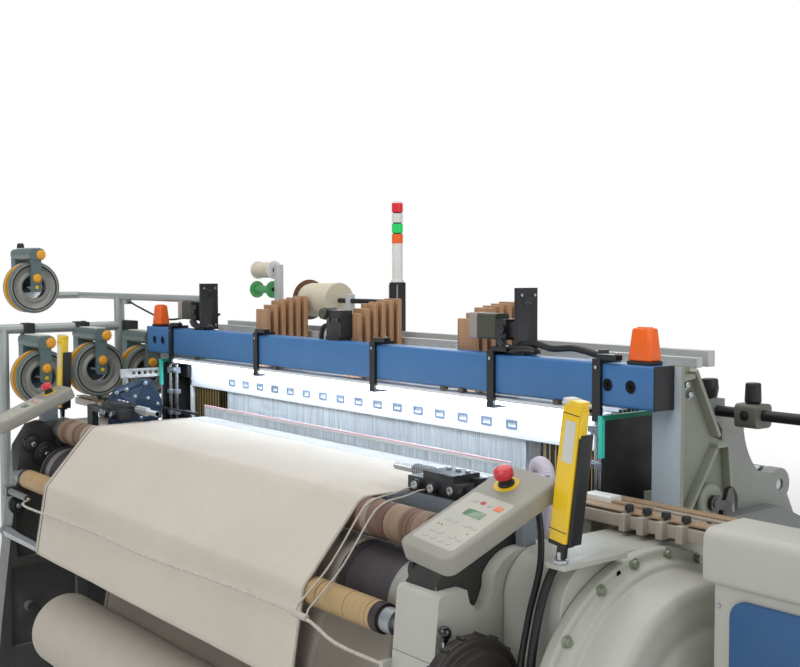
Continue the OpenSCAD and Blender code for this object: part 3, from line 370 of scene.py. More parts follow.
def shade(rgb, factor):
    """The colour, made lighter or darker."""
    r, g, b, a = linear(rgb)
    return (min(r * factor, 1), min(g * factor, 1), min(b * factor, 1), a)


def surface(name, rgb, rough=0.5, metal=0.0, vary=0.10, patch=6.0, grain=0.15, grain_scale=900.0, coat=0.0,
            dirt=0.0, stretch=None, dirt_rgb=(70, 64, 58)):
    """Colour and roughness that drift in soft patches, fine grain in the normals, and dirt in patches."""
    f = Finish(name)
    vector = f.stretch(stretch) if stretch else None
    cloud = f.noise(patch, 5, vector)
    color = f.ramp(cloud, [(0.3, shade(rgb, 1 - vary)), (0.7, shade(rgb, 1 + vary))])
    if dirt:
        spots = f.ramp(f.noise(patch * 4, 8), [(0.55, grey(0)), (0.8, grey(dirt))])
        color = f.mix(spots, color, linear(dirt_rgb))
    f.link(color, f.shader.inputs["Base Color"])
    smear = f.ramp(f.noise(patch * 2.3, 4, vector),
                   [(0.3, grey(rough * 0.85)), (0.75, grey(min(rough * 1.2, 1)))])
    f.link(smear, f.shader.inputs["Roughness"])
    f.bump(f.noise(grain_scale, 3, vector), grain, 0.0002)
    f.set(Metallic=metal, Coat_Weight=coat)
    return f


def banded(name, bands, rough=0.5, grain=0.2, grain_scale=700.0):
    """Bands along X by distance from the middle: rows of (metres, colour, metal), each held to the next."""
    f = Finish(name)
    split = f.new("ShaderNodeSeparateXYZ")
    f.link(f.coords, split.inputs[0])
    away = f.math("MULTIPLY", f.math("ABSOLUTE", split.outputs[0]), 0.5)
    color = f.ramp(away, [(x * 0.5, linear(rgb)) for x, rgb, _ in bands], "CONSTANT")
    shine = f.ramp(away, [(x * 0.5, grey(m)) for x, _, m in bands], "CONSTANT")
    drift = f.noise(9, 6, f.stretch((6, 1, 1)))
    color = f.mix(0.35, color, f.ramp(drift, [(0.3, grey(0.35)), (0.7, grey(1))]), "MULTIPLY")
    f.link(color, f.shader.inputs["Base Color"])
    f.link(shine, f.shader.inputs["Metallic"])
    f.bump(f.noise(grain_scale, 2), grain, 0.0003)
    return f.set(Roughness=rough)


def lit(name, rgb, strength):
    """A lamp's glowing face."""
    f = surface(name, rgb, 0.3, vary=0.02)
    f.shader.inputs["Emission Color"].default_value = linear(rgb)
    f.shader.inputs["Emission Strength"].default_value = strength
    return f


def yarn_wound(name, rgb, pitch, dark=0.8):
    """Yarn wound side by side: fine stripes across X, in colour and height."""
    f = Finish(name)
    wave = f.new("ShaderNodeTexWave")
    wave.bands_direction = "X"
    wave.inputs["Scale"].default_value = pitch / WAVE
    wave.inputs["Distortion"].default_value = 1.2
    wave.inputs["Detail"].default_value = 2
    f.link(f.coords, wave.inputs["Vector"])
    soft = f.ramp(f.noise(14, 5), [(0.3, shade(rgb, 0.96)), (0.7, shade(rgb, 1.03))])
    lines = f.ramp(wave.outputs["Fac"], [(0.0, grey(dark)), (0.6, grey(1))])
    f.link(f.mix(1.0, soft, lines, "MULTIPLY"), f.shader.inputs["Base Color"])
    f.bump(wave.outputs["Fac"], 0.5, 0.0005)
    return f.set(Roughness=0.85, Sheen_Weight=0.15)


def woven(name, rgb, count=1500.0):
    """Plain weave on the piece's own UV map in metres: warp times weft stripes, slubs and shade drift."""
    f = Finish(name)
    uv = f.new("ShaderNodeUVMap")
    uv.uv_map = "cloth"
    waves = []
    for direction in ("X", "Y"):
        wave = f.new("ShaderNodeTexWave")
        wave.bands_direction = direction
        wave.inputs["Scale"].default_value = count / WAVE
        wave.inputs["Distortion"].default_value = 0.6
        f.link(uv.outputs[0], wave.inputs["Vector"])
        waves.append(wave.outputs["Fac"])
    weave = f.math("MULTIPLY", waves[0], waves[1])
    mapping = f.new("ShaderNodeMapping")
    mapping.inputs["Scale"].default_value = (3, 90, 1)
    f.link(uv.outputs[0], mapping.inputs["Vector"])
    slubs = f.noise(6, 4, mapping.outputs[0])
    cloud = f.ramp(f.noise(2.2, 4, uv.outputs[0]), [(0.3, shade(rgb, 0.93)), (0.7, shade(rgb, 1.05))])
    bars = f.ramp(slubs, [(0.35, grey(0.93)), (0.65, grey(1))])
    color = f.mix(1.0, cloud, bars, "MULTIPLY")
    dents = f.ramp(weave, [(0.0, grey(0.88)), (0.5, grey(1))])
    f.link(f.mix(1.0, color, dents, "MULTIPLY"), f.shader.inputs["Base Color"])
    f.bump(weave, 0.35, 0.0004)
    f.bump(f.noise(9, 3, uv.outputs[0]), 0.15, 0.004)
    return f.set(Roughness=0.9, Sheen_Weight=0.2)


def wooden(name, rgb):
    """Boards with rings stretched along their height, fine pores and a slight sheen."""
    f = Finish(name)
    grain = f.noise(26, 8, f.stretch((2.2, 2.2, 0.14)), 0.65)
    tones = ((0.25, 0.62), (0.45, 0.95), (0.6, 1.12), (0.8, 0.8))
    color = f.ramp(grain, [(place, shade(rgb, tone)) for place, tone in tones])
    f.link(color, f.shader.inputs["Base Color"])
    f.bump(grain, 0.25, 0.0008)
    f.bump(f.noise(160, 4, f.stretch((1, 1, 0.05))), 0.2, 0.0004)
    return f.set(Roughness=0.55)


PAINTS = {}


def paint(name):
    """The named material, made once. The names are this machine's own finishes."""
    if name not in PAINTS:
        kind, look, *rest = FINISHES.get(name) or (surface, *SURFACES[name])
        PAINTS[name] = kind(name, own(look) if isinstance(look, str) else look, *rest)
        PAINTS[name].mat.name = name.replace(" ", "_")
    return PAINTS[name].mat


# Pieces: from shapes and node copies to objects


def body_of(node):
    """The body that a node belongs to."""
    if node in frame["bodies"]:
        return node
    return "sley" if node == "reed" else "frame"


def put(name, data):
    """A new object in the scene."""
    obj = bpy.data.objects.new(name, data)
    bpy.context.scene.collection.objects.link(obj)
    return obj


def finish_piece(obj, node, rides=True, replace=True):
    """Rides the piece on its node's body and hides the node, so that the piece stands for it."""
    if rides:
        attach(obj, body_of(node))
    if replace:
        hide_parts(node)
    return obj


def shaded(mesh, angle):
    """Smooth faces, with edges sharper than the angle left sharp."""
    mesh.shade_smooth()
    mesh.set_sharp_from_angle(angle=math.radians(angle))


def make(name, shape, mats, node, rides=True, replace=True, bevel=0.0, angle=30):
    """An object in metres from a shape in millimetres, with its materials and an optional bevel."""
    mesh = bpy.data.meshes.new(name)
    mesh.from_pydata((np.vstack(shape.points) * MM).tolist(), [], shape.faces)
    for mat in mats:
        mesh.materials.append(paint(mat))
    mesh.polygons.foreach_set("material_index", np.array(shape.kinds, dtype=np.int32))
    bm = bmesh.new()
    bm.from_mesh(mesh)
    bmesh.ops.recalc_face_normals(bm, faces=bm.faces)
    bm.to_mesh(mesh)
    bm.free()
    shaded(mesh, angle)
    obj = put(name, mesh)
    if bevel:
        soften(obj, bevel, angle)
    return finish_piece(obj, node, rides, replace)


def soften(obj, width, angle=35, segments=2):
    """Rounds the edges that are sharper than the angle."""
    mod = obj.modifiers.new("edges", "BEVEL")
    mod.width, mod.segments, mod.limit_method = width * MM, segments, "ANGLE"
    mod.angle_limit = math.radians(angle)
    mod.harden_normals = True
    mod.miter_outer = "MITER_ARC"


def dressed(node, mats, bevel=2.0, pick=None, segments=2):
    """A copy of a node with its triangles joined back into faces and its edges rounded. pick takes the
    face centres in millimetres and their normals, and gives each face's material number."""
    mesh = frame["nodes"][node].data.copy()
    mesh.materials.clear()
    for mat in mats:
        mesh.materials.append(paint(mat))
    bm = bmesh.new()
    bm.from_mesh(mesh)
    bmesh.ops.remove_doubles(bm, verts=bm.verts, dist=2e-5)
    bmesh.ops.dissolve_limit(bm, angle_limit=math.radians(0.5), verts=bm.verts, edges=bm.edges)
    bmesh.ops.connect_verts_concave(bm, faces=[f for f in bm.faces if len(f.verts) > 4])
    bmesh.ops.recalc_face_normals(bm, faces=bm.faces)
    bm.to_mesh(mesh)
    bm.free()
    kinds = np.zeros(len(mesh.polygons), dtype=np.int32)
    if pick:
        centre, normal = np.empty(len(kinds) * 3), np.empty(len(kinds) * 3)
        mesh.polygons.foreach_get("center", centre)
        mesh.polygons.foreach_get("normal", normal)
        kinds = pick(centre.reshape(-1, 3) / MM, normal.reshape(-1, 3)).astype(np.int32)
    mesh.polygons.foreach_set("material_index", kinds)
    shaded(mesh, 35)
    obj = put(node + "_dressed", mesh)
    soften(obj, bevel, segments=segments)
    return finish_piece(obj, node)


def bar(shape, x0, x1, y0, y1, z0, z1, r=2.0, kind=0):
    """A straight bar along X whose section is a rectangle with rounded corners, and whose ends are eased."""
    section = outline(y1 - y0, z1 - z0, r, 4) + np.array([(y0 + y1) / 2, (z0 + z1) / 2])
    middle = section.mean(0)
    ease = min(r, 2.0) * 0.5
    rings = []
    for x, shrink in ((x0, ease), (x0 + ease, 0), (x1 - ease, 0), (x1, ease)):
        size = 1 - 2 * shrink / np.array([y1 - y0, z1 - z0])
        rings.append(np.column_stack([np.full(len(section), x), middle + (section - middle) * size]))
    return loft(shape, rings, kind)


def block(shape, x0, x1, y0, y1, z0, z1, corner=3.0, edge=1.5, kind=0):
    """An upright block with rounded corners and eased top and bottom edges."""
    w, h = x1 - x0, y1 - y0
    edge = min(edge, (z1 - z0) / 2.1)
    return slab(shape, w, h, z0, z1, corner, edge, kind, 0.0, ((x0 + x1) / 2, (y0 + y1) / 2))


def eased(steps, fillet=6.0, n=4):
    """A turned profile from (x, radius) corners, each rounded by a quarter arc."""
    rows = [np.array(steps[0], float)]
    for a, b, c in zip(steps, steps[1:], steps[2:]):
        a, b, c = (np.array(v, float) for v in (a, b, c))
        u, v = (a - b) / np.linalg.norm(a - b), (c - b) / np.linalg.norm(c - b)
        size = min(fillet, np.linalg.norm(a - b) * 0.45, np.linalg.norm(c - b) * 0.45)
        for i in range(n + 1):
            t = i / n
            rows.append((1 - t) ** 2 * (b + u * size) + 2 * t * (1 - t) * b + t**2 * (b + v * size))
    rows.append(np.array(steps[-1], float))
    return np.array(rows)


def turned(shape, rows, base=(0, 0, 0), axis="x", sides=48, kind=0, fillet=0.0):
    """A solid turned from (distance, radius) rows, closed at both ends, its corners eased by the fillet."""
    profile = [(rows[0][0], TIP), *rows, (rows[-1][0], TIP)]
    return lathe(shape, eased(profile, fillet) if fillet else profile, base, axis, sides, kind)


def sided(side, rows):
    """Profile rows for the left or the right side of the machine."""
    return [(side * x, r) for x, r in rows]


def ends(side, a, b):
    """The places a and b on one side of the machine, the lower one first."""
    return sorted((side * a, side * b))


def axle(roller):
    """A point on the axis of a roller."""
    return 0, *ROLLERS[roller][:2]


def around(y, z, radius, degrees):
    """Points in y and z on a circle, at every angle."""
    return [(y + radius * math.cos(a), z + radius * math.sin(a)) for a in np.radians(degrees)]


# Cords


def cord_piece(name, path, radius, mat, node, sides=12, radii=None):
    """One cord as a tube along its path in millimetres."""
    obj = make(name, tube(Shape(), path, radius if radii is None else radii, sides), [mat], node, angle=60)
    return obj


WASTE = [[-980, -688, 690], [-960, -688, 690], [-910, -730, 684], [-700, -740, 690], [-300, -745, 704],
         [100, -742, 700], [500, -742, 716], [858, -738, 718], [1000, -738, 690], [1104, -702, 668],
         [1130, -702, 668]]
LOOP = [[846, -395, 966], [846, -412, 966], [847, -455, 958], [848, -500, 954], [848, -533, 943],
        [849, -562, 918], [850, -640, 820], [850, -706, 760], [846, -730, 738], [846, -738, 722]]
HOSE = [[1130, -250, 962], [1134, -262, 1010], [1170, -290, 1052], [1222, -318, 1050], [1262, -345, 1000],
        [1268, -356, 930]]
CABLE_A = [[1316, -440, 1050], [1330, -440, 1050], [1384, -446, 1010], [1412, -462, 930], [1414, -500, 880],
           [1414, -530, 810], [1412, -550, 700], [1410, -550, 540], [1410, -544, 420]]
CABLE_B = [[1316, -470, 1050], [1326, -470, 1050], [1362, -478, 990], [1384, -496, 900], [1388, -532, 800],
           [1386, -556, 680], [1384, -556, 540], [1384, -544, 420]]
LENO_RIGHT = [[835, -22, 1300], [850, -22, 1300], [900, -26, 1304], [960, -30, 1296], [1030, -26, 1300],
              [1100, -20, 1288], [1118, -20, 1288]]
LENO_MIDDLE = [[-58, -8, 1320], [-70, -8, 1320], [-100, -12, 1312], [-108, -16, 1286], [-108, -16, 1273]]
LENO_LEFT = [[-905, 40, 1330], [-905, 50, 1330], [-1000, 44, 1300], [-1120, 30, 1310], [-1300, 14, 1300],
             [-1480, -8, 1342], [-1570, -10, 1364], [-1590, -10, 1364]]


def make_cords():
    """The waste cord with its two loops, the suction hose and every cable."""
    knot = Shape()
    turned(knot, [(838, 8), (894, 8)], (0, -738, 717.5), "x", 20, fillet=3)
    tie = make("waste_knot", knot, ["cord"], "loose_cords", angle=35)
    path = smooth_path(WASTE, 4)
    cord_piece("waste_cord", path, 4, "cord", "loose_cords", sides=16)
    for i, shift in enumerate((0, 44)):
        loop = smooth_path(np.array(LOOP, float) + [shift, 0, 0], 5)
        cord_piece(f"loop_cord_{i + 1}", loop, 2.5, "cord", "loose_cords")
    hose = smooth_path(HOSE, 60)
    along = np.concatenate([[0], np.cumsum(np.linalg.norm(np.diff(hose, axis=0), axis=1))])
    ribs = 17.6 + 1.4 * np.sin(2 * math.pi * along / 7.0)
    cord_piece("suction_hose_ribbed", hose, 19, "hose", "suction_hose", sides=24, radii=ribs)
    nozzle = Shape()
    turned(nozzle, [(860, 16), (944, 16)], (1168, -250, 0), "z", 24, fillet=2)
    block(nozzle, 1112, 1184, -268, -232, 944, 961, 6, 2)
    make("suction_nozzle", nozzle, ["pale plastic"], "suction_hose", angle=35)
    for name, points, r in (("control_cable_a", CABLE_A, 9), ("control_cable_b", CABLE_B, 7)):
        cord_piece(name, smooth_path(points, 7), r, "cable", "control_cables")
    foot = Shape()
    block(foot, 1370, 1430, -566, -500, 380, 420, 8, 3)
    for x, y, r in ((1410, -544, 15), (1384, -544, 12)):
        lathe(foot, [(420, r), (432, r), (446, r * 0.75)], (x, y, 0), "z", 16)
    for y, z, r in ((-440, 1050, 15), (-470, 1050, 12)):
        lathe(foot, [(1316, r), (1326, r * 0.95), (1345, r * 0.72)], (0, y, z), "x", 16)
    make("cable_glands", foot, ["black plastic"], "control_cables", angle=35)
    for name, points, r in (("leno_cable_right", LENO_RIGHT, 9), ("leno_cable_left", LENO_LEFT, 4)):
        cord_piece(name, smooth_path(points, 6), r, "cable", "leno_cables")
    lead = tube(Shape(), smooth_path(LENO_MIDDLE, 6), 8, 12)
    make("leno_lead_middle", lead, ["cable"], "leno_cables", angle=60)


# Castings, beam and rails


def make_castings(bevel):
    """The side frames, uprights, cross members and arms behind them."""
    # The side frames' inward faces take a darker grey and their front top faces near black: painted shade
    # where the frames stand in shadow.
    dressed("side_frames", ["dark casting", "inner casting", "frame shade"], bevel * 1.5,
            lambda c, n: np.where((c[:, 1] < -540) & (c[:, 2] > 780), 2, n[:, 0] * np.sign(c[:, 0]) < -0.5))
    dressed("uprights", ["pale casting", "blue casting"], bevel,
            lambda c, n: (c[:, 1] < 23) & (n[:, 1] < -0.5))
    dressed("cross_members", ["dark casting"], bevel)
    dressed("whip_arms", ["arm grey", "black steel"], bevel * 1.5,
            lambda c, n: (np.abs(c[:, 1] - 330) < 16) & (np.abs(c[:, 2] - 1132) < 16)
            & (np.abs(n[:, 0]) < 0.5))
    parts = Shape()
    for s in SIDES:
        for y, z in ((60, 880), (190, 880), (60, 930), (150, 945), (70, 1200), (58, 1225)):
            bolts(parts, [(s * 1310, y, z)], "x", 9, 8, out=s)
        bolts(parts, [(s * 1154, 300, 1110), (s * 1154, 360, 1110)], "y", 7, 6, out=-1)
    knobs = Shape()
    for s in SIDES:
        turned(knobs, [(1162, 19), (1188, 24), (1214, 21)], (s * 1174, 330, 0), "z", 24, fillet=4)
        turned(knobs, [(1160, 15), (1164, 21), (1212, 19)], (s * 1306, 330, 0), "z", 24, fillet=4)
        bar(knobs, *ends(s, 1274, 1338), 296, 364, 1100, 1160, 12, 1)
        head = eased([(296, TIP), (292, 13), (292, 7), (288, 7), (288, TIP)], 1)
        lathe(knobs, head, (s * 1306, 0, 1132), "y", 20)
    for s in SIDES:
        for y in (-600, 600):
            turned(parts, [(20, 17), (23, 17), (23, 13), (36, 13)], (s * 1290, y, 0), "z", 6)
    rings = Shape()
    for s in SIDES:
        ring = [(1309, 30), (1309, 46), (1330, 46), (1336, 43), (1339, 38), (1339, 30)]
        lathe(rings, [(s * x, r) for x, r in eased(ring, 2)], (0, 127, 939), closed=True)
    make("boss_rings", rings, ["pale casting"], "uprights", replace=False, angle=35)
    gear = Shape()
    for s in SIDES:
        for y, z, r, x0 in ((-560, 820, 44, 1122), (-610, 860, 30, 1126), (-470, 850, 26, 1124),
                            (-668, 640, 34, 1126)):
            steps = [(x0, TIP), (x0, r * 0.6), (x0 + 4, r * 0.62), (x0 + 6, r), (1149, r), (1149, TIP)]
            lathe(gear, [(s * x, v) for x, v in eased(steps, 2)], (0, y, z), "x", 40)
            bolts(gear, [(s * x0, y, z)], "x", 8, 7, 1, out=-s)
        plate = [(-640, 880), (-600, 896), (-548, 860), (-530, 800), (-560, 770), (-592, 800), (-618, 846)]
        prism(gear, plate, *ends(s, 1140, 1149))
    make("roller_end_plates", gear, ["device black", "bright steel"], "side_frames", replace=False, angle=35)
    make("frame_bolts", parts, ["bright steel"], "side_frames", replace=False, angle=35)
    make("clamp_knobs", knobs, ["black plastic", "clamp grey"], "whip_arms", replace=False, angle=35)


def make_beam(corner):
    """The blue beam with its vents and clips, end caps, lamps, hooks and the light bar."""
    beam = Shape()
    bar(beam, -1310, 1310, -60, 10, 1169, 1273, corner)
    for x in (-1243, -1172, 1172, 1243):
        # Each vent is a blue rim, raised black rings and a black disc standing proud of the face; the black
        # disc is painted shade for the dark inside of the hole.
        rim = eased([(-59, 17.5), (-61.4, 17.5), (-61.4, 15.5), (-59, 15.5)], 0.8)
        lathe(beam, rim, (x, 0, 1221), "y", 40, 1, closed=True)
        for r in (4, 8, 12):
            ring = [(-59.5, r), (-61.2, r + 0.8), (-61.2, r + 2), (-59.5, r + 2.8)]
            lathe(beam, ring, (x, 0, 1221), "y", 40, 2, closed=True)
        lathe(beam, [(-60.4, 15.5), (-60.4, TIP)], (x, 0, 1221), "y", 40, 2)
    for x in (-900, -330, 560, 640, 1000):
        boxes(beam, [x - 9, -61.5, 1160], [x + 9, -46, 1171], 3)
    make("top_beam_painted", beam, ["beam blue", "beam blue", "black plastic", "tan wood"], "top_beam",
         angle=35)
    dressed("beam_end_caps", ["black plastic"], 1.5)
    lamps = Shape()
    for s in SIDES:
        x = s * 1255
        block(lamps, x - 36, x + 36, -50, 0, 1273, 1282, 6, 2, 1)
        slab(lamps, 70, 48, 1282, 1359, 9, 5, 0, 7, (x, -25))
        slab(lamps, 36, 22, 1359, 1361.5, 6, 1, 0, 0, (x, -25))
    make("beam_lamps_lens", lamps, ["orange lens", "black plastic"], "beam_lamps", angle=35)
    dressed("lamp_hooks", ["black steel"], 1.2)
    screws = Shape()
    for x in (-1091, -443, 241, 767, 1143):
        turned(screws, [(1294, 5), (1299, 5)], (x + 50, -52, 0), "z", 12)
        lathe(screws, [(-69, 4.5), (-72, 4.5), (-72, TIP)], (x, 0, 1262), "y", 12)
    make("hook_screws", screws, ["bright steel"], "lamp_hooks", replace=False, angle=35)
    light = Shape()
    bar(light, -1110, 1110, -60, -6, 1147, 1157, 3, 1)
    bar(light, -1108, 1108, -59.5, -7, 1139.2, 1147, 3.5, 0)
    for s in SIDES:
        bar(light, *ends(s, 1110, 1092), -60, -6, 1139, 1156.9, 3, 1)
    make("light_bar_lit", light, ["lamp glow", "lamp white"], "light_bar", angle=35)


def make_rails():
    """The rails behind the beam, the signal tower with its four lamps, and the bobbins."""
    dressed("top_rails", ["pale rail"], 2)
    tower = Shape()
    y, x = 272, -70
    block(tower, -95, -45, 254, 290, 1291, 1456, 4, 2, 0)
    for px in (-92, -48):
        boxes(tower, [px - 2, 252.6, 1300], [px + 2, 254.4, 1448], 5)
    turned(tower, [(1456, 22), (1464, 22), (1464, 18), (1589, 18)], (x, y, 0), "z", 32, 1, fillet=1.5)
    for i in range(4):
        z = 1589 + 35 * i
        turned(tower, [(z, 19), (z + 31, 19)], (x, y, 0), "z", 32, (4, 3, 1, 2)[i], fillet=1.5)
        lathe(tower, [(z + 31, 15), (z + 35, 15)], (x, y, 0), "z", 24)
    turned(tower, [(1725, 18.6), (1729, 14)], (x, y, 0), "z", 32, 1, fillet=1)
    make("signal_tower_lamps", tower,
         ["black plastic", "white plastic", "red lens", "green lens", "orange lens", "bright steel"],
         "signal_tower")
    stand = Shape()
    y = 276
    block(stand, -850, -820, 262, 290, 1291, 1522, 5, 2, 3)
    block(stand, -366, -340, 262, 290, 1291, 1412, 5, 2, 3)
    for x0, x1, z, r in ((-1000, -850, 1501, 8), (-1010, -850, 1423, 8), (-640, -95.3, 1388, 9)):
        turned(stand, [(x0, r), (x1, r)], (0, y, z), "x", 20, 4, fillet=2)
    bobbins = ((-930, 1501, 116, 31, 36, 0, 5), (-940, 1423, 116, 15, 34, 1, 1),
               (-520, 1388, 190, 63, 76, 0, 2))
    for x, z, length, r, flange, yarn, rim in bobbins:
        a, b = x - length / 2, x + length / 2
        ease = length * 0.12
        wound = [(a, TIP), (a, r * 0.94), (a + ease, r), (b - ease, r), (b, r * 0.94), (b, TIP)]
        lathe(stand, eased(wound, 3), (0, y, z), "x", 48, yarn)
        for e, tone in ((a - 5, rim), (b, 0 if rim == 2 else rim)):
            edge = r + 2 if tone == 0 else flange
            ring = [(e, TIP), (e, edge), (e + 5, edge), (e + 5, TIP)]
            lathe(stand, eased(ring, 1.8), (0, y, z), "x", 48, tone)
    make("bobbins_wound", stand,
         ["bobbin yarn", "green plastic", "brown sleeve", "pale rail", "black plastic", "white plastic"],
         "bobbin_stand")


# Healds, reed and rapiers


def make_healds():
    """Each heald frame: two slotted rails, struts, fine heddles and its wooden plates."""
    for k in range(6):
        y, low, base = HEALD_Y[k], 1040 + 6 * k, 860 - 6 * k
        s = Shape()
        y0, y1 = y - 7, y + 7
        bar(s, -1096, 1096, y0, y1, low, low + 30, 2)
        bar(s, -1096, 1096, y0, y1, low + 44, low + 92, 2)
        centres = (np.arange(16) - 7.5) * 101.25
        edges = np.concatenate([[-1080], np.sort(np.concatenate([centres - 17, centres + 17])), [1080]])
        for a, b in edges.reshape(-1, 2):
            boxes(s, [a, y0 + 0.4, low + 29], [b, y1 - 0.4, low + 45])
        if k == 0:
            for c in centres:
                front, back = y0 - 2.2, y0 + 1
                rim_low = [[c - 21, front, low + 25], [c - 21, front, low + 44], [c - 21, front, low + 30],
                           [c + 17, front, low + 30]]
                rim_high = [[c + 21, back, low + 30], [c + 21, back, low + 49], [c - 17, back, low + 44],
                            [c + 21, back, low + 44]]
                boxes(s, rim_low, rim_high, 3)
                boxes(s, [c - 17.5, y - 1, low + 29.5], [c + 17.5, y + 1, low + 44.5])
        bar(s, -1096, 1096, y0, y1, base - 92, base, 2)
        for side in SIDES:
            block(s, *ends(side, 1080, 1096), y0, y1, base - 92, low + 92, 2, 1)
        x = np.arange(-806, 808, 4 if k == 0 else 8) + (4 * k) % 8
        x = x[x < 812]
        slivers(s, x, 0.7, (y - 0.6, y + 0.6), (base - 1.0, low + 1.0), 2)
        side_x = np.arange(868 + 3 * k, 1066, 21)
        for width, shift, kind in ((4.5, 0, 4), (1.6, 9, 5)):
            for sign in SIDES:
                slivers(s, sign * (side_x + shift), width, (y - 0.8, y + 0.8), (base - 1.0, low + 1.0), kind)
        for i in (-1, 0, 1):
            c = 15 + i * 557
            top = 1359 + (0, 15, 30, 35, 40, 45)[k]
            block(s, c - 38, c + 38, y - 7, y + 7, low + 91, 1213, 2, 1, 1)
            block(s, c - 38, c + 38, y - 9, y + 9, 1213, top, 4, 3, 1)
        make(f"heald_{k + 1}_slotted", s,
             ["heald white", "brown wood", "heddle steel", "slot rim", "spare heddle", "spare yellow"],
             f"heald_frame_{k + 1}")
    f = Shape()
    for side in SIDES:
        for x, y in ((1138, -44), (1112, -30)):
            turned(f, [(866, 7), (1128, 7)], (side * x, y, 0), "z", 20, fillet=2)
            for z in (884, 926, 1010, 1092):
                block(f, side * x - 13, side * x + 13, y - 11, y + 11, z, z + 18, 4, 2, 1)
        for z0, z1 in ((1100, 1116), (862, 876)):
            block(f, *ends(side, 1100, 1157), -52, -20, z0, z1, 4, 2, 1)
        bolts(f, [(side * 1112, -41, z) for z in (893, 935, 1019, 1101)], "y", 5, 5, 0, out=-1)
    make("heald_side_fittings", f, ["bright steel", "sley paint"], "heald_guards", replace=False, angle=35)
    dressed("heald_guards", ["guard black", "guard teal", "guard turquoise"], 1.5,
            lambda c, n: np.where((c[:, 2] > 1134.5) & (np.abs(c[:, 0]) < 1171), 1, 0)
            + np.where((c[:, 1] < -65.5) & (c[:, 2] > 1044), 2, 0) * (c[:, 2] < 1134.5))


def make_reed(pitch):
    """The reed with its fine dents and pink cap, on the sley."""
    s = Shape()
    for z0, z1, kind in ((902, 920, 1), (978, 987, 1), (987, 992, 0)):
        bar(s, -834, 834, -60, -54, z0, z1, 1.5, kind)
    bar(s, -834, 834, -60.4, -59.6, 981, 983, 0.3, 3)
    x = np.arange(-810, 810.1, pitch)
    slivers(s, x, 0.5, (-59.0, -55.0), (919.0, 979.0), 2)
    for side in SIDES:
        block(s, *ends(side, 818, 834), -60, -54, 919, 979, 1.5, 0.8, 1)
    make("reed_dents", s, ["reed pink", "heald white", "heddle steel", "pale plastic"], "reed")
    dressed("sley", ["sley paint"], 2)
    for side, node in ((1, "right_rapier"), (-1, "left_rapier")):
        dressed(node, ["rapier carbon"], 1.0)
        r = Shape()
        for x in (880, 905, 930):
            a, b = ends(side, x, x + 12)
            boxes(r, [a, -85, 953.6], [b, -71, 962.4])
        make(node + "_grip", r, ["bright steel"], node, replace=False, bevel=0.8, angle=35)
    make_guides()


def make_guides():
    """The rapier guides: a slotted strip with wooden edges, thumb screws on slim blocks, and brackets."""
    g = Shape()
    top = TAPE_Z - 0.4
    strips = [(1172, 1745, -195, -61, top - 28, top, 2, 0),
              (1172, 1745, -91, -61, top, top + 10, 2.5, 2),
              (1172, 1745, -108, -95, top, top + 6, 1.5, 0),
              (1172, 1745, -190, -150, top + 4, top + 9, 1.5, 2),
              (1172, 1372, -145, -129, top, top + 14, 2.5, 2),
              (1182, 1262, -150, -110, top, top + 22, 4, 3),
              (1182, 1222, -170, -80, FRAME_TOP, top - 28, 2, 0)]
    for side in SIDES:
        for x0, x1, y0, y1, z0, z1, r, kind in strips:
            bar(g, *ends(side, x0, x1), y0, y1, z0, z1, r, kind)
        for v in (1350, 1400, 1452, 1505):
            block(g, side * v - 9, side * v + 9, -213, -152, top - 32, top + 6, 3, 1.5, 0)
            screw = [(top + 6, 5), (top + 12, 5), (top + 12, 11), (top + 24, 9.5)]
            turned(g, screw, (side * v, -186, 0), "z", 20, 1, fillet=1.2)
        bolts(g, [(side * v, -122, top) for v in np.arange(1290, 1740, 56)], "z", 5, 5, 1)
    for x0, x1, low in GUIDE_FEET:
        bar(g, x0, x1, -170, -80, low, top - 28, 2, 0)
    make("rapier_guides_built", g, ["guide strip", "device black", "guide wood", "white plastic"],
         "rapier_guides")


# Warp and cloth


def heading(c1, s1, c2, s2):
    """Direction of the straight run between two rollers, as the source works it out."""
    d = np.subtract(c2, c1)
    return math.atan2(d[1], d[0]) + math.asin((s1 - s2) / np.hypot(*d))


def bend(centre, radius, h0, h1, n):
    """Points round a roller from one heading to another."""
    h = np.linspace(h0, h1, n + 1)
    return np.column_stack([centre[0] + radius * np.sin(h), centre[1] - radius * np.cos(h)])


def cloth_path():
    """The cloth's middle from the fell, over the breast roller and round the rest to the wound roll."""
    c = {name: np.array(ROLLERS[name][:2], float)
         for name in ("breast", "guide", "turning", "takeup", "roll")}
    r = {name: ROLLERS[name][2] + SOFT_GAP for name in c}
    for name in ("takeup", "roll"):
        r[name] *= -1
    names = list(c)
    h = [heading(c[a], r[a], c[b], r[b]) + 2 * math.pi for a, b in zip(names, names[1:])]
    turns = [math.pi] + h
    parts = [np.array([[FELL_Y, c["breast"][1] + r["breast"]]])]
    for name, n, h0, h1 in zip(names[:4], (16, 8, 18, 26), turns, turns[1:]):
        parts.append(bend(c[name], r[name], h0, h1, n))
    last = c["roll"] + r["roll"] * np.array([math.sin(h[-1]), -math.cos(h[-1])])
    return np.vstack(parts + [last[None]])


def spaced(path, step):
    """The path's own points, with straight pieces divided to about the step."""
    rows = []
    for a, b in zip(path, path[1:]):
        n = max(1, int(np.hypot(*(b - a)) / step))
        rows.append(a + (b - a) * (np.arange(n) / n)[:, None])
    return np.vstack(rows + [path[-1:]])


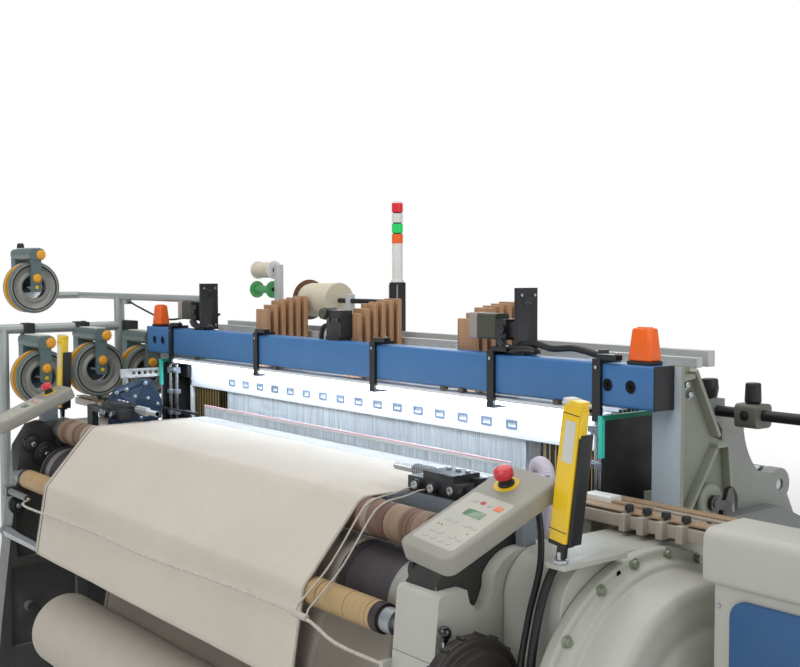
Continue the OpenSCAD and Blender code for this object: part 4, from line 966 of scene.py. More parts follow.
def grid_sheet(name, path, half, across, lift, mats, node, thickness, kind_edge=None):
    """A sheet over x and a path: the point (x, s) is the path at s plus lift(x, s) along its normal."""
    x = np.linspace(-half, half, across)
    t = np.gradient(path, axis=0)
    t /= np.linalg.norm(t, axis=1)[:, None]
    normal = np.column_stack([t[:, 1], -t[:, 0]])
    s = np.concatenate([[0], np.cumsum(np.linalg.norm(np.diff(path, axis=0), axis=1))])
    rise = lift(x[None, :], s[:, None])
    yz = path[:, None] + rise[..., None] * normal[:, None]
    points = np.concatenate([np.broadcast_to(x[None, :, None], rise.shape + (1,)), yz], -1)
    i, j = np.arange(len(s) - 1)[:, None], np.arange(across - 1)[None, :]
    a = i * across + j
    quads = np.stack([a, a + 1, a + across + 1, a + across], -1).reshape(-1, 4)
    mesh = bpy.data.meshes.new(name)
    mesh.from_pydata((points.reshape(-1, 3) * MM).tolist(), [], quads.tolist())
    uv = mesh.uv_layers.new(name="cloth")
    flat = np.stack(np.broadcast_arrays(x[None, :], s[:, None]), -1).reshape(-1, 2) * MM
    loops = np.empty(len(mesh.loops), dtype=np.int32)
    mesh.loops.foreach_get("vertex_index", loops)
    uv.data.foreach_set("uv", flat[loops].ravel())
    for mat in mats:
        mesh.materials.append(paint(mat))
    if kind_edge:
        centre = (x[:-1] + x[1:]) / 2
        tone = np.where(np.abs(centre) > half - kind_edge, 1, 0)
        tone += np.where(np.abs(centre + half - 2.5 * kind_edge) < kind_edge / 2, 2, 0)
        edge = np.broadcast_to(tone[None, :], (len(s) - 1, across - 1))
        mesh.polygons.foreach_set("material_index", edge.ravel().astype(np.int32))
    mesh.shade_smooth()
    obj = put(name, mesh)
    solid = obj.modifiers.new("thickness", "SOLIDIFY")
    solid.thickness, solid.offset = thickness * MM, 0
    return finish_piece(obj, node), float(s[-1] * MM)


def make_cloth(ripple):
    """The woven cloth on its rollers, its loose edge threads and the wound roll below."""
    path = spaced(cloth_path(), 14)

    def lift(x, s):
        free = np.clip((s - 250) / 200, 0, 1) * np.clip((1150 - s) / 250, 0, 1)
        wave = np.sin(x / 137 + s / 610) + 0.6 * np.sin(x / 61 - s / 330 + 1.3)
        wave += 0.4 * np.sin(x / 29 + s / 190)
        return ripple * (0.2 + free) * (wave + 2.0) * 0.25

    cloth, length = grid_sheet("cloth_woven", path, 809.5, 181, lift,
                               ["woven cloth", "selvedge", "edge shadow"], "cloth", 1.6, 9)
    fringe = Shape()
    pick = spaced(cloth_path(), 7)
    t = np.gradient(pick, axis=0)
    t /= np.linalg.norm(t, axis=1)[:, None]
    for side in SIDES:
        for (y, z), (ty, tz) in list(zip(pick, t))[2:-8]:
            long = RNG.uniform(4, 9)
            lean = RNG.uniform(-2.5, 2.5, 2)
            a = np.array([side * 809, y, z])
            b = a + [side * long * 0.5, ty * lean[0] + tz * 0.6, tz * lean[0] - ty * 0.6]
            c = a + [side * long, ty * lean[1] + tz * 1.2, tz * lean[1] - ty * 1.2]
            tube(fringe, [a, b, c], 0.45, 4)
    edge = make("selvedge_threads", fringe, ["selvedge"], "cloth", angle=80)
    roll = Shape()
    wound = [(-810, 66), (-810, 122.5), (-808, 124), (808, 124), (810, 122.5), (810, 66)]
    lathe(roll, wound, axle("roll"), "x", 72, closed=True)
    for side in SIDES:
        for r in np.arange(70, 122, 4.0):
            ring = sided(side, [(809.5, r), (811.2, r + 1), (811.2, r + 2.4), (809.5, r + 3.2)])
            lathe(roll, ring, axle("roll"), closed=True)
        core = sided(side, [(808, 56), (808, 65), (925, 65), (925, 57), (905, 57), (905, TIP)])
        lathe(roll, core, axle("roll"), "x", 48, 1)
        turned(roll, sided(side, [(900, 16), (1188, 16)]), axle("roll"), "x", 24, 2)
    make("cloth_roll_wound", roll, ["rolled cloth", "tan sleeve", "bright steel"], "cloth_roll")


def make_warp(pitch):
    """Warp threads in six groups, one for each heald. A group's front half joins the fell to its heald and
    its rear half joins the heald to the back, both level with a slight sag. One sheet of threads behind them
    runs over the whip roller."""
    x = np.arange(-808, 808.1, pitch)
    section = np.array([[-0.55, 0, -0.35], [0.55, 0, -0.35], [0.55, 0, 0.35], [-0.55, 0, 0.35]])
    for k in range(6):
        mine = x[k::6]
        for name, y0, y1 in (("front", FELL_Y, HEALD_Y[k]), ("rear", HEALD_Y[k], SHEET_Y)):
            s = Shape()
            cuts = np.linspace(y0, y1, 7)
            dip = 0.25 * np.sin(np.linspace(0, math.pi, 7))
            for v in mine:
                path = np.column_stack([np.full(7, v), cuts, MID_Z + dip])
                loft(s, path[:, None] + section[None])
            obj = make(f"warp_{name}_{k + 1}", s, ["warp yarn"], "warp_sheet", rides=False, angle=80)
            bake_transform(obj)
    whip, beam = (np.array(ROLLERS[n][:2], float) for n in ("whip", "beam"))
    s1, s2 = -(ROLLERS["whip"][2] + SOFT_GAP), -(ROLLERS["beam"][2] + SOFT_GAP)
    w = heading(whip, s1, beam, s2)
    last = beam + s2 * np.array([math.sin(w), -math.cos(w)])
    path = spaced(np.vstack([[[SHEET_Y - 4, MID_Z]], bend(whip, s1, 0, w, 12), last[None]]), 20)
    grid_sheet("warp_rear", path, 809.5, 2 * len(x), lambda a, s: 0.3 * np.cos(a * math.pi / pitch) + 0 * s,
               ["warp sheet yarn"], "warp_sheet", 1.0)
    beams = Shape()
    yarn = [(-810, TIP), (-810, 239), (-806, 240), (806, 240), (810, 239), (810, TIP)]
    lathe(beams, yarn, axle("beam"), "x", 96)
    for s in SIDES:
        flange = sided(s, [(870, 60), (870, 326), (873, 330), (887, 330), (890, 326), (890, 300), (886, 296),
                           (886, 120), (892, 112), (892, 60)])
        lathe(beams, flange, axle("beam"), "x", 96, 1, closed=True)
        lathe(beams, sided(s, [(805, 110), (872, 110)]), axle("beam"), "x", 48, 1)
        shaft = sided(s, [(886, 60), (950, 60), (950, 16), (1188, 16)])
        turned(beams, shaft, axle("beam"), "x", 48, 2, fillet=4)
        x0, x1 = ends(s, 886, 893)
        for y, z in around(*axle("beam")[1:], 218, range(0, 360, 60)):
            boxes(beams, [x0, y - 12, z - 12], [x1, y + 12, z + 12], 2)
    make("warp_beam_wound", beams, ["beam yarn", "grey casting", "bright steel"], "warp_beam")
    drops = Shape()
    for y in (350, 408):
        bar(drops, -850, 850, y, y + 14, 880, 904, 2, 1)
        slivers(drops, np.arange(-810, 810.1, 6.0) + 2.0, 0.3, (y + 4.0, y + 10.0), (903.0, 1010.0), 0)
    for s in SIDES:
        block(drops, *ends(s, 820, 850), 350, 422, 904, 930, 3, 1, 1)
    make("drop_wires_fine", drops, ["bright steel", "sley paint"], "drop_wires")


def grooved(shape, half, roller, seams, stub):
    """A roller's body with narrow seams at the given places, its stepped ends and its journals."""
    radius = ROLLERS[roller][2]
    rows = [(-half, TIP), (-half, radius - 1.5), (-half + 1.5, radius)]
    for x in sorted([-v for v in seams] + list(seams)):
        rows += [(x - 1.6, radius), (x - 0.8, radius - 1.8), (x + 0.8, radius - 1.8), (x + 1.6, radius)]
    rows += [(half - 1.5, radius), (half, radius - 1.5), (half, TIP)]
    lathe(shape, rows, axle(roller), "x", 64)
    for s in SIDES:
        for x0, x1, r in stub:
            turned(shape, sided(s, [(x0, r), (x1 - 1, r), (x1, r - 1)]), axle(roller), "x", 40)
    return shape


def make_rollers():
    """The rollers with sleeves, seams and steel ends."""
    breast = grooved(Shape(), 1059, "breast", [822, 838, 902, 918, 990, 1006],
                     [(1056, 1139, 31), (1130, 1188, 16)])
    make("breast_roller_sleeved", breast, ["breast bands"], "breast_roller")
    guide = grooved(Shape(), 1079, "guide", [850, 866, 960, 1040], [(1070, 1119, 28), (1110, 1188, 16)])
    make("guide_roller_sleeved", guide, ["guide bands"], "guide_roller")
    takeup = grooved(Shape(), 1089, "takeup", [840], [(1085, 1097, 98), (1095, 1133, 42), (1120, 1188, 16)])
    for s in SIDES:
        heads = [(s * 1097, y, z) for y, z in around(-500, 745, 68, range(15, 375, 60))]
        bolts(takeup, heads, "x", 6, 5, out=s)
    make("takeup_roller_gripped", takeup, ["takeup bands"], "takeup_roller")
    dressed("turning_roller", ["bright steel"], 1)
    dressed("whip_roller", ["bright steel"], 1)


# Covers


def make_covers(edge):
    """The moulded covers, the stepped round cover, end boxes and plates."""
    for node, width in (("front_cover", edge), ("drive_housing", edge * 1.3), ("end_boxes", edge)):
        dressed(node, ["cover paint"], width, segments=3)
    dressed("perforated_rail", ["pale rail"], 1)
    s = Shape()
    y0, z0, ring = -250, 560, 339
    steps = [(1445, TIP), (1445, 352), (1477, 352), (1477, 331), (1500, 324), (1505, 312), (1560, 309),
             (1595, 302), (1604, 286), (1606, 240), (1600, 214), (1611, 196), (1620, 150), (1620, TIP)]
    lathe(s, eased(steps, 9, 5), (0, y0, z0), "x", 128)
    for y, z in around(y0, z0, ring, (66, 84, 102, 120, 142, 168)):
        turned(s, [(1476, 13), (1480, 13), (1480, 8.5), (1487, 8.5)], (0, y, z), "x", 20, 1, fillet=1)
    [(y, z)] = around(y0, z0, ring, [110])
    lathe(s, [(1477.6, 6.5), (1477.6, TIP)], (0, y, z), "x", 20, 2)
    make("round_cover_stepped", s, ["cover paint", "green steel", "black plastic"], "round_cover", angle=25)
    p = Shape()
    rings = []
    for y, inset in ((-338, 0), (-345, 0), (-347.4, 1), (-348, 3)):
        flat = outline(230 - 2 * inset, 760 - 2 * inset, 34 - inset, 8)
        rings.append(np.column_stack([flat[:, 0] + 1845, np.full(len(flat), y), flat[:, 1] + 500]))
    loft(p, rings, 0)
    make("end_panel_rounded", p, ["panel blue"], "end_panel", angle=40)
    dressed("bolted_plate", ["plate blue", "plate blue"], 1.5)
    b = Shape()
    x = -1104
    plate = [(-290, 1030), (-170, 1060), (-118, 975), (-300, 940), (-230, 965), (-130, 930), (-250, 1040),
             (-215, 1010), (-160, 1000), (-270, 985), (-190, 925)]
    for y, z in plate:
        turned(b, [(x, 9), (x + 2, 9), (x + 2, 6), (x + 7, 5.5)], (0, y, z), "x", 18, fillet=1)
    for y in (-650, -420):
        turned(b, [(1278, 7), (1281, 7)], (0, y, 640), "x", 16, fillet=1)
    for x, z in ((1700, 960), (1980, 960), (1700, 880), (1980, 880)):
        lathe(b, [(-338, 5), (-341, 5), (-341, TIP)], (x, 0, z - 20), "y", 14)
    make("cover_bolts", b, ["bright steel"], "bolted_plate", replace=False, angle=35)


# Controls


def make_consoles():
    """The two consoles with keys and display, on their brackets, and the stop buttons."""
    body, brackets = Shape(), Shape()
    for side, (place, tip, roll) in CONSOLES.items():
        m = tilt(place, tip, roll)
        one = Shape()
        slab(one, 146, 310, -20, 20, 22, 6, 0)
        slab(one, 120, 172, 19, 20.6, 9, 0.5, 9, 0, (0, -42))
        slab(one, 114, 166, 19, 20.9, 7, 0.5, 1, 0, (0, -42))
        slab(one, 52, 22, 20.8, 21.3, 3, 0.3, 2, 0, (4, -16))
        keys = [(38, 18, 20, 15, 3), (12, 20, 12, 10, 5), (-8, 20, 12, 10, 4), (-30, 20, 14, 10, 5)]
        keys += [(x, y, 15, 10, 5) for x in (-34, -12, 22, 42) for y in (-52, -92)]
        keys += [(x, -112, 12, 8, 5) for x in (-34, -12, 10, 32)]
        for x, y, w, h, tone in keys:
            slab(one, w, h, 20.7, 21.8, 3, 0.5, tone, 0, (x, y))
        for x in (-40, -30, 44):
            slab(one, 4, 4, 20.7, 21.5, 1.5, 0.3, 4, 0, (x, -72))
        plate = eased([(19, 14.3), (19, 27), (21.5, 27), (21.5, 14.3)], 1)
        lathe(one, plate, (-16, 93, 0), "z", 32, 6, closed=True)
        collar = eased([(20.6, 14.2), (20.6, 17), (25, 17), (27, 15), (27, 14.2)], 1)
        lathe(one, collar, (-16, 93, 0), "z", 32, 7, closed=True)
        bar(one, -60, 60, -152, -149, -8, -6, 0.5, 7)
        body.join(one, m)
        node = f"{side}_stop_button"
        button = Shape()
        turned(button, [(-8, 13.9), (38.5, 13.9)], (-16, 93, 0), "z", 32, 1, fillet=1)
        turned(button, [(38, 18), (40, 20), (50, 20), (56, 18.5), (59.5, 13), (61, 6)], (-16, 93, 0), "z", 40,
               fillet=2)
        make(f"{node}_dome", button.moved(m), ["stop red", "black plastic"], node)
    block(brackets, 1248, 1276, -436, -400, 905, 1062, 3, 2)
    bar(brackets, 1248, 1316, -520, -400, 1040, 1062, 3)
    block(brackets, -1200, -1160, -560, -500, 935, 1002, 3, 2)
    body.join(brackets)
    body.kinds[-len(brackets.kinds):] = [8] * len(brackets.kinds)
    names = ["console plastic", "membrane", "display", "key orange", "key red", "key grey", "yellow plastic",
             "black plastic", "sley paint", "key grey"]
    make("consoles_keyed", body, names, "consoles", angle=35)


def make_curtains():
    """The yellow light curtains with clear windows, end caps, black backs, labels and stems."""
    s = Shape()
    for place, turn in CURTAINS.values():
        one = Shape()
        slab(one, 46, 30, 8, 278, 6, 1.5, 0, 0, (-3, -3))
        slab(one, 47, 31, 0, 9, 6, 1.5, 1, 0, (-3, -3))
        slab(one, 47, 31, 277, 289, 6, 2, 0, 0, (-3, -3))
        slab(one, 22, 31.6, 279, 290, 5, 2, 2, 0, (-16, -3))
        slab(one, 9, 34, 6, 226, 4, 1.5, 1, 0, (24, 5))
        slab(one, 6, 20, 220, 272, 2.5, 1, 0, 0, (22, -4))
        for z in (30, 262):
            boxes(one, [-26.4, -18.4, z], [20.2, -17.8, z + 1.6], 1)
        boxes(one, [-12, -18.7, 168], [15, -17.9, 250], 2)
        slab(one, 20, 14, -28, 1, 3, 1, 1, 0, (0, -1))
        m = Matrix.Translation(place) @ Matrix.Rotation(math.radians(turn), 4, "Y")
        s.join(one, m)
    for x, y, z0 in ((1465, -521, 920), (-1300, -429, 888)):
        turned(s, [(z0, 9), (946, 9)], (x, y, 0), "z", 20, 4, fillet=1)
        turned(s, [(z0 + 2, 15), (z0 + 10, 15)], (x, y, 0), "z", 6, 4, fillet=1)
    block(s, 1430, 1484, -532, -344, 910, 922, 5, 2, 5)
    block(s, -1316, -1284, -440, -280, 880, 890, 4, 2, 5)
    make("light_curtains_yellow", s,
         ["curtain yellow", "black plastic", "pale plastic", "black plastic", "bright steel", "cover paint"],
         "light_curtains")


def make_handles():
    """The handwheel, the ball knob and the clamp lever."""
    w = Shape()
    steps = [(1290, TIP), (1290, 30), (1314, 30), (1314, 118), (1318, 129), (1344, 129), (1350, 122),
             (1350, 106), (1366, 100), (1366, 46), (1372, 38), (1386, 36), (1386, 10), (1380, 8), (1380, TIP)]
    lathe(w, eased(steps, 5), (0, -640, 640), "x", 72)
    for y, z in around(-640, 640, 129.5, range(0, 360, 20)):
        turned(w, [(1320, 4), (1342, 4)], (0, y, z), "x", 8, fillet=1)
    make("handwheel_turned", w, ["brown black plastic"], "handwheel")
    k = Shape()
    turned(k, [(1284, 12), (1302, 12)], (0, -676, 700), "x", 24, 1, fillet=2)
    turned(k, [(1258, 5), (1286, 5)], (0, -676, 700), "x", 16, 1, fillet=1)
    lathe(k, [(700, 5), (758, 4.5)], (1296, -676, 0), "z", 16, 1)
    a = np.linspace(-math.pi / 2, math.pi / 2, 15)
    ball = np.column_stack([772 + 15 * np.sin(a), np.maximum(15 * np.cos(a), TIP)])
    lathe(k, np.vstack([[755, TIP], [755, 8], ball[3:]]), (1296, -676, 0), "z", 28)
    make("knob_lever_ball", k, ["gloss black", "bright steel"], "knob_lever", angle=40)
    dressed("clamp_lever", ["gloss black"], 3, segments=3)


# Weft feeders


def make_feeders():
    """Four feeders: a rounded body and arm on the frame, and a disc with its dished ring and drum."""
    fixed = Shape()
    for n, c in enumerate(FEEDERS):
        one = Shape()
        motor = [(-172, TIP), (-170, 44), (-160, 60), (-140, 66), (-74, 66), (-64, 60), (-62, 48), (-62, TIP)]
        lathe(one, eased(motor, 6))
        for x in (-150, -132, -114, -96):
            lathe(one, [(x, 65), (x + 2, 67.4), (x + 6, 67.4), (x + 8, 65)], closed=True)
        lathe(one, [(-62, 9), (44, 9), (44, TIP)], sides=20, kind=4)
        bar(one, -170, -118, -34, 34, 40, 160, 14, 0)
        bar(one, -170, 58, -36, 36, 118, 170, 20, 1)
        bar(one, -126, 36, -24, 24, 168, 173, 4, 2)
        bar(one, 30, 54, -21, 21, -20, 130, 9, 1)
        for y, z, r in ((18, 142, 21), (0, 40, 18)):
            turned(one, [(48, r), (60, r - 1), (66, r - 5)], (0, y, z), "x", 24, 3, fillet=3)
            for ky, kz in around(y, z, r, range(0, 360, 30)):
                lathe(one, [(50, TIP), (50, 2.2), (62, 2.0), (62, TIP)], (0, ky, kz), "x", 8, 3)
        turned(one, [(156, 18), (190, 15), (196, 11)], (-140, 0, 0), "z", 24, 5, fillet=4)
        turned(one, [(53, 9), (58, 7)], sides=20, kind=6, fillet=2)
        fixed.join(one, Matrix.Translation(c))
        disc = Shape()
        back = [(-60, 9.2), (-60, 104), (-57, 112), (-50, 112), (-47, 104), (-47, 64)]
        lathe(disc, eased(back, 3), sides=72, closed=True)
        drum = eased([(-48, 62), (7, 62), (7, 52), (-18, 50), (-18, 9.2)], 2)
        lathe(disc, drum, sides=72, kind=1, closed=True)
        front = [(4, 61), (6, 108), (10, 112), (20, 112), (26, 107), (26, 99), (22, 90), (17, 80), (15, 70),
                 (18, 64), (18, 54), (10, 50)]
        lathe(disc, eased(front, 3), sides=72, closed=True)
        lathe(disc, [(-49, 109), (-42, 107), (-42, 92), (-49, 88)], sides=72, kind=2, closed=True)
        lathe(disc, [(25, 98.5), (26.4, 98.5), (23.4, 92.5), (22, 92.5)], sides=72, kind=3, closed=True)
        lathe(disc, [(4, 108), (6, 112.4), (18, 113), (25.6, 109), (26.6, 105), (20, 104)], sides=72, kind=5,
              closed=True)
        wraps = Shape()
        for i in range(12):
            x = -42 + 3.4 * i
            lathe(wraps, [(x, 61), (x + 0.9, 63.1), (x + 1.8, 63.1), (x + 2.7, 61)], kind=4, closed=True)
        disc.join(wraps)
        make(f"feeder_disc_{n + 1}_dished", disc.moved(Matrix.Translation(c)),
             ["feeder grey", "chrome", "orange plastic", "black plastic", "bobbin yarn", "feeder teal"],
             f"feeder_disc_{n + 1}")
    for x, y, z in FEEDERS[:3]:
        bar(fixed, -1714, x - 120, y - 20, y + 20, z + 130, 1284, 5, 5)
    bar(fixed, -2150, -2100, -320, -280, 1554, 1584, 5, 5)
    names = ["feeder teal", "feeder teal", "pale plastic", "orange plastic", "bright steel", "black plastic",
             "yellow plastic"]
    make("feeder_bodies_rounded", fixed, names, "feeder_bodies", angle=35)
    dressed("feeder_stand", ["pipe grey"], 2)


# Selvedge devices and temples


def make_devices():
    """The selvedge devices on the beam and the temples beside the cloth."""
    dressed("leno_devices", ["device black"], 2.5)
    d = Shape()
    for x in (829, -905):
        bar(d, x - 190, x - 156, -31, 23, 1308, 1380, 5, 0)
        bar(d, x - 158, x - 84, -30.4, 22.4, 1309, 1379, 7, 1)
        lathe(d, eased([(-31, TIP), (-34, 13), (-37, 12), (-37, TIP)], 1), (x - 56, 0, 1337), "y", 20, 4)
        for i in range(5):
            y, z = -44 + 5 * i, 1284 + 7 * (i % 2)
            lead = [[x - 60, y, z + 20], [x - 40, y - 4, z + 6], [x, y - 10, z], [x + 34, y - 4, z + 3],
                    [x + 60, y + 4, z + 2], [x + 72, y + 8, 1283]]
            tube(d, smooth_path(lead, 5), 5.5, 8, 4)
        for y, z in ((-24, 1318), (16, 1318), (-24, 1358), (16, 1358)):
            lathe(d, [(x - 189, TIP), (x - 192.5, 2.6), (x - 192.5, TIP)], (0, y, z), "x", 10, 2)
        for y, z in ((-20, 1430), (28, 1430), (-20, 1290), (28, 1290)):
            turned(d, [(x + 6, 5), (x + 9.5, 4.5)], (0, y, z), "x", 12, 2, fillet=0.6)
        bar(d, x - 7.5, x + 7.5, -14, 24, 1398, 1428, 3, 4)
        bar(d, x - 8.2, x + 8.2, -8, 18, 1404, 1422, 2, 3)
    for x in (-40, -12, 8):
        lathe(d, eased([(-31, TIP), (-36, 8), (-38, 7), (-38, TIP)], 1), (x, 0, 1338), "y", 16, 1)
    turned(d, [(-31, 19), (-42, 17)], (-70, 0, 1357), "y", 24, 1, fillet=2)
    make("device_details", d, ["device face", "device olive", "bright steel", "gloss black", "device black"],
         "leno_devices", replace=False, angle=35)
    dressed("temples", ["device black", "bright steel"], 1.6,
            lambda c, n: ((np.abs(c[:, 1] + 318) < 16) & (np.abs(c[:, 0]) < 861)).astype(int))
    t = Shape()
    for s, shift in ((1, -20), (-1, 0)):
        for x, y in ((890, -409), (950, -409), (1005, -395)):
            disc = [(y, TIP), (y, 12), (y - 3, 12), (y - 4, 9), (y - 4, 4.5), (y - 2.5, 4), (y - 2.5, TIP)]
            lathe(t, eased(disc, 1), (s * x + shift, 0, 976), "y", 24)
        for x in (925, 960, 995):
            turned(t, [(1012, 7), (1018, 6)], (s * x + shift, -330, 0), "z", 14, fillet=1)
        rows = []
        for x in range(700, 780, 2):
            rows += [(s * x + shift, 9.2), (s * (x + 1) + shift, 9.8)]
        lathe(t, [(s * 700 + shift, TIP)] + rows + [(s * 780 + shift, TIP)], (0, -318, 990), "x", 20)
        for i in range(9):
            x = 782 + 8.5 * i
            lathe(t, [(s * x + shift, 14), (s * (x + 2) + shift, 16.6), (s * (x + 4) + shift, 16.6),
                      (s * (x + 6) + shift, 14)], (0, -318, 990), "x", 28, closed=True)
    make("temple_details", t, ["bright steel"], "temples", replace=False)


# Stage

CAMERA_PLACE = (3.011, -2.1286, 1.491)  # metres
CAMERA_AIM = (51.955, 3.068, -0.126)  # degrees: towards the left from straight back, down, roll
CAMERA_LENS = 51.50  # millimetres on a film 36 wide
# Name, place, aim, size in metres and power in watts
LAMPS = [("key", (1.5, -5.5, 5.5), (0.2, -0.3, 0.8), 5.0, 170),
         ("top", (-0.5, 0.5, 6.0), (0, 0, 0.9), 6.0, 150),
         ("side", (6.5, 0.5, 3.5), (0.3, -0.2, 0.8), 4.0, 80),
         ("back", (-5.0, 5.0, 4.0), (-0.5, 0, 1.0), 4.0, 90)]


def floor_material():
    """A pale floor that fades to plain white some metres away from the machine."""
    f = surface("studio floor", (236, 236, 234), 0.7, vary=0.01, patch=1, grain=0.02)
    far = f.new("ShaderNodeVectorMath")
    far.operation = "LENGTH"
    f.link(f.coords, far.inputs[0])
    fade = f.ramp(f.math("DIVIDE", far.outputs["Value"], 9.0), [(0.28, grey(0)), (0.75, grey(1))], "EASE")
    white, mix = f.new("ShaderNodeEmission"), f.new("ShaderNodeMixShader")
    f.link(fade, mix.inputs[0])
    f.link(f.shader.outputs[0], mix.inputs[1])
    f.link(white.outputs[0], mix.inputs[2])
    f.link(mix.outputs[0], f.tree.nodes["Material Output"].inputs["Surface"])
    return f.mat


def make_stage():
    """Pale floor, soft lamps, a plain world and the camera from the photograph."""
    mesh = bpy.data.meshes.new("floor")
    corners = [(x * 40, y * 40, -MM) for x, y in ((-1, -1), (1, -1), (1, 1), (-1, 1))]
    mesh.from_pydata(corners, [], [(0, 1, 2, 3)])
    mesh.materials.append(floor_material())
    put("studio_floor", mesh)
    for name, place, aim, size, power in LAMPS:
        data = bpy.data.lights.new(name, "AREA")
        data.energy, data.size, data.color = power, size, (1.0, 0.985, 0.96)
        lamp = put(name, data)
        direction = Vector(place) - Vector(aim)
        lamp.location = place
        lamp.rotation_euler = direction.to_track_quat("Z", "Y").to_euler()
    world = bpy.data.worlds.new("studio")
    bpy.context.scene.world = world
    world.use_nodes = True
    nodes, links = world.node_tree.nodes, world.node_tree.links
    back = nodes["Background"]
    back.inputs["Color"].default_value = (0.86, 0.9, 0.95, 1)
    back.inputs["Strength"].default_value = 0.42
    white = nodes.new("ShaderNodeBackground")
    white.inputs["Color"].default_value = grey(1)
    white.inputs["Strength"].default_value = 1.0
    path, mix = nodes.new("ShaderNodeLightPath"), nodes.new("ShaderNodeMixShader")
    links.new(path.outputs["Is Camera Ray"], mix.inputs[0])
    links.new(back.outputs[0], mix.inputs[1])
    links.new(white.outputs[0], mix.inputs[2])
    links.new(mix.outputs[0], nodes["World Output"].inputs[0])
    bpy.context.scene.view_settings.view_transform = "Standard"
    place_camera()


def place_camera():
    """The photograph's camera: where it stands, its aim and its lens."""
    az, pitch, roll = np.radians(CAMERA_AIM)
    ahead = np.array([-math.sin(az) * math.cos(pitch), math.cos(az) * math.cos(pitch), -math.sin(pitch)])
    right = np.array([math.cos(az), math.sin(az), 0.0])
    up = np.cross(right, ahead)
    r2 = right * math.cos(roll) + up * math.sin(roll)
    u2 = -right * math.sin(roll) + up * math.cos(roll)
    m = np.eye(4)
    m[:3, 0], m[:3, 1], m[:3, 2], m[:3, 3] = r2, u2, -ahead, CAMERA_PLACE
    data = bpy.data.cameras.new("camera")
    data.lens, data.sensor_width, data.sensor_fit = CAMERA_LENS, 36, "HORIZONTAL"
    camera = put("camera", data)
    camera.matrix_world = Matrix(m.tolist())
    bpy.context.scene.camera = camera


# The machine's finishes


def own(setting):
    """A colour from the settings, as 0 to 255 sRGB values."""
    return tuple(round(255 * v) for v in getattr(bpy.context.scene.loom_settings, setting))


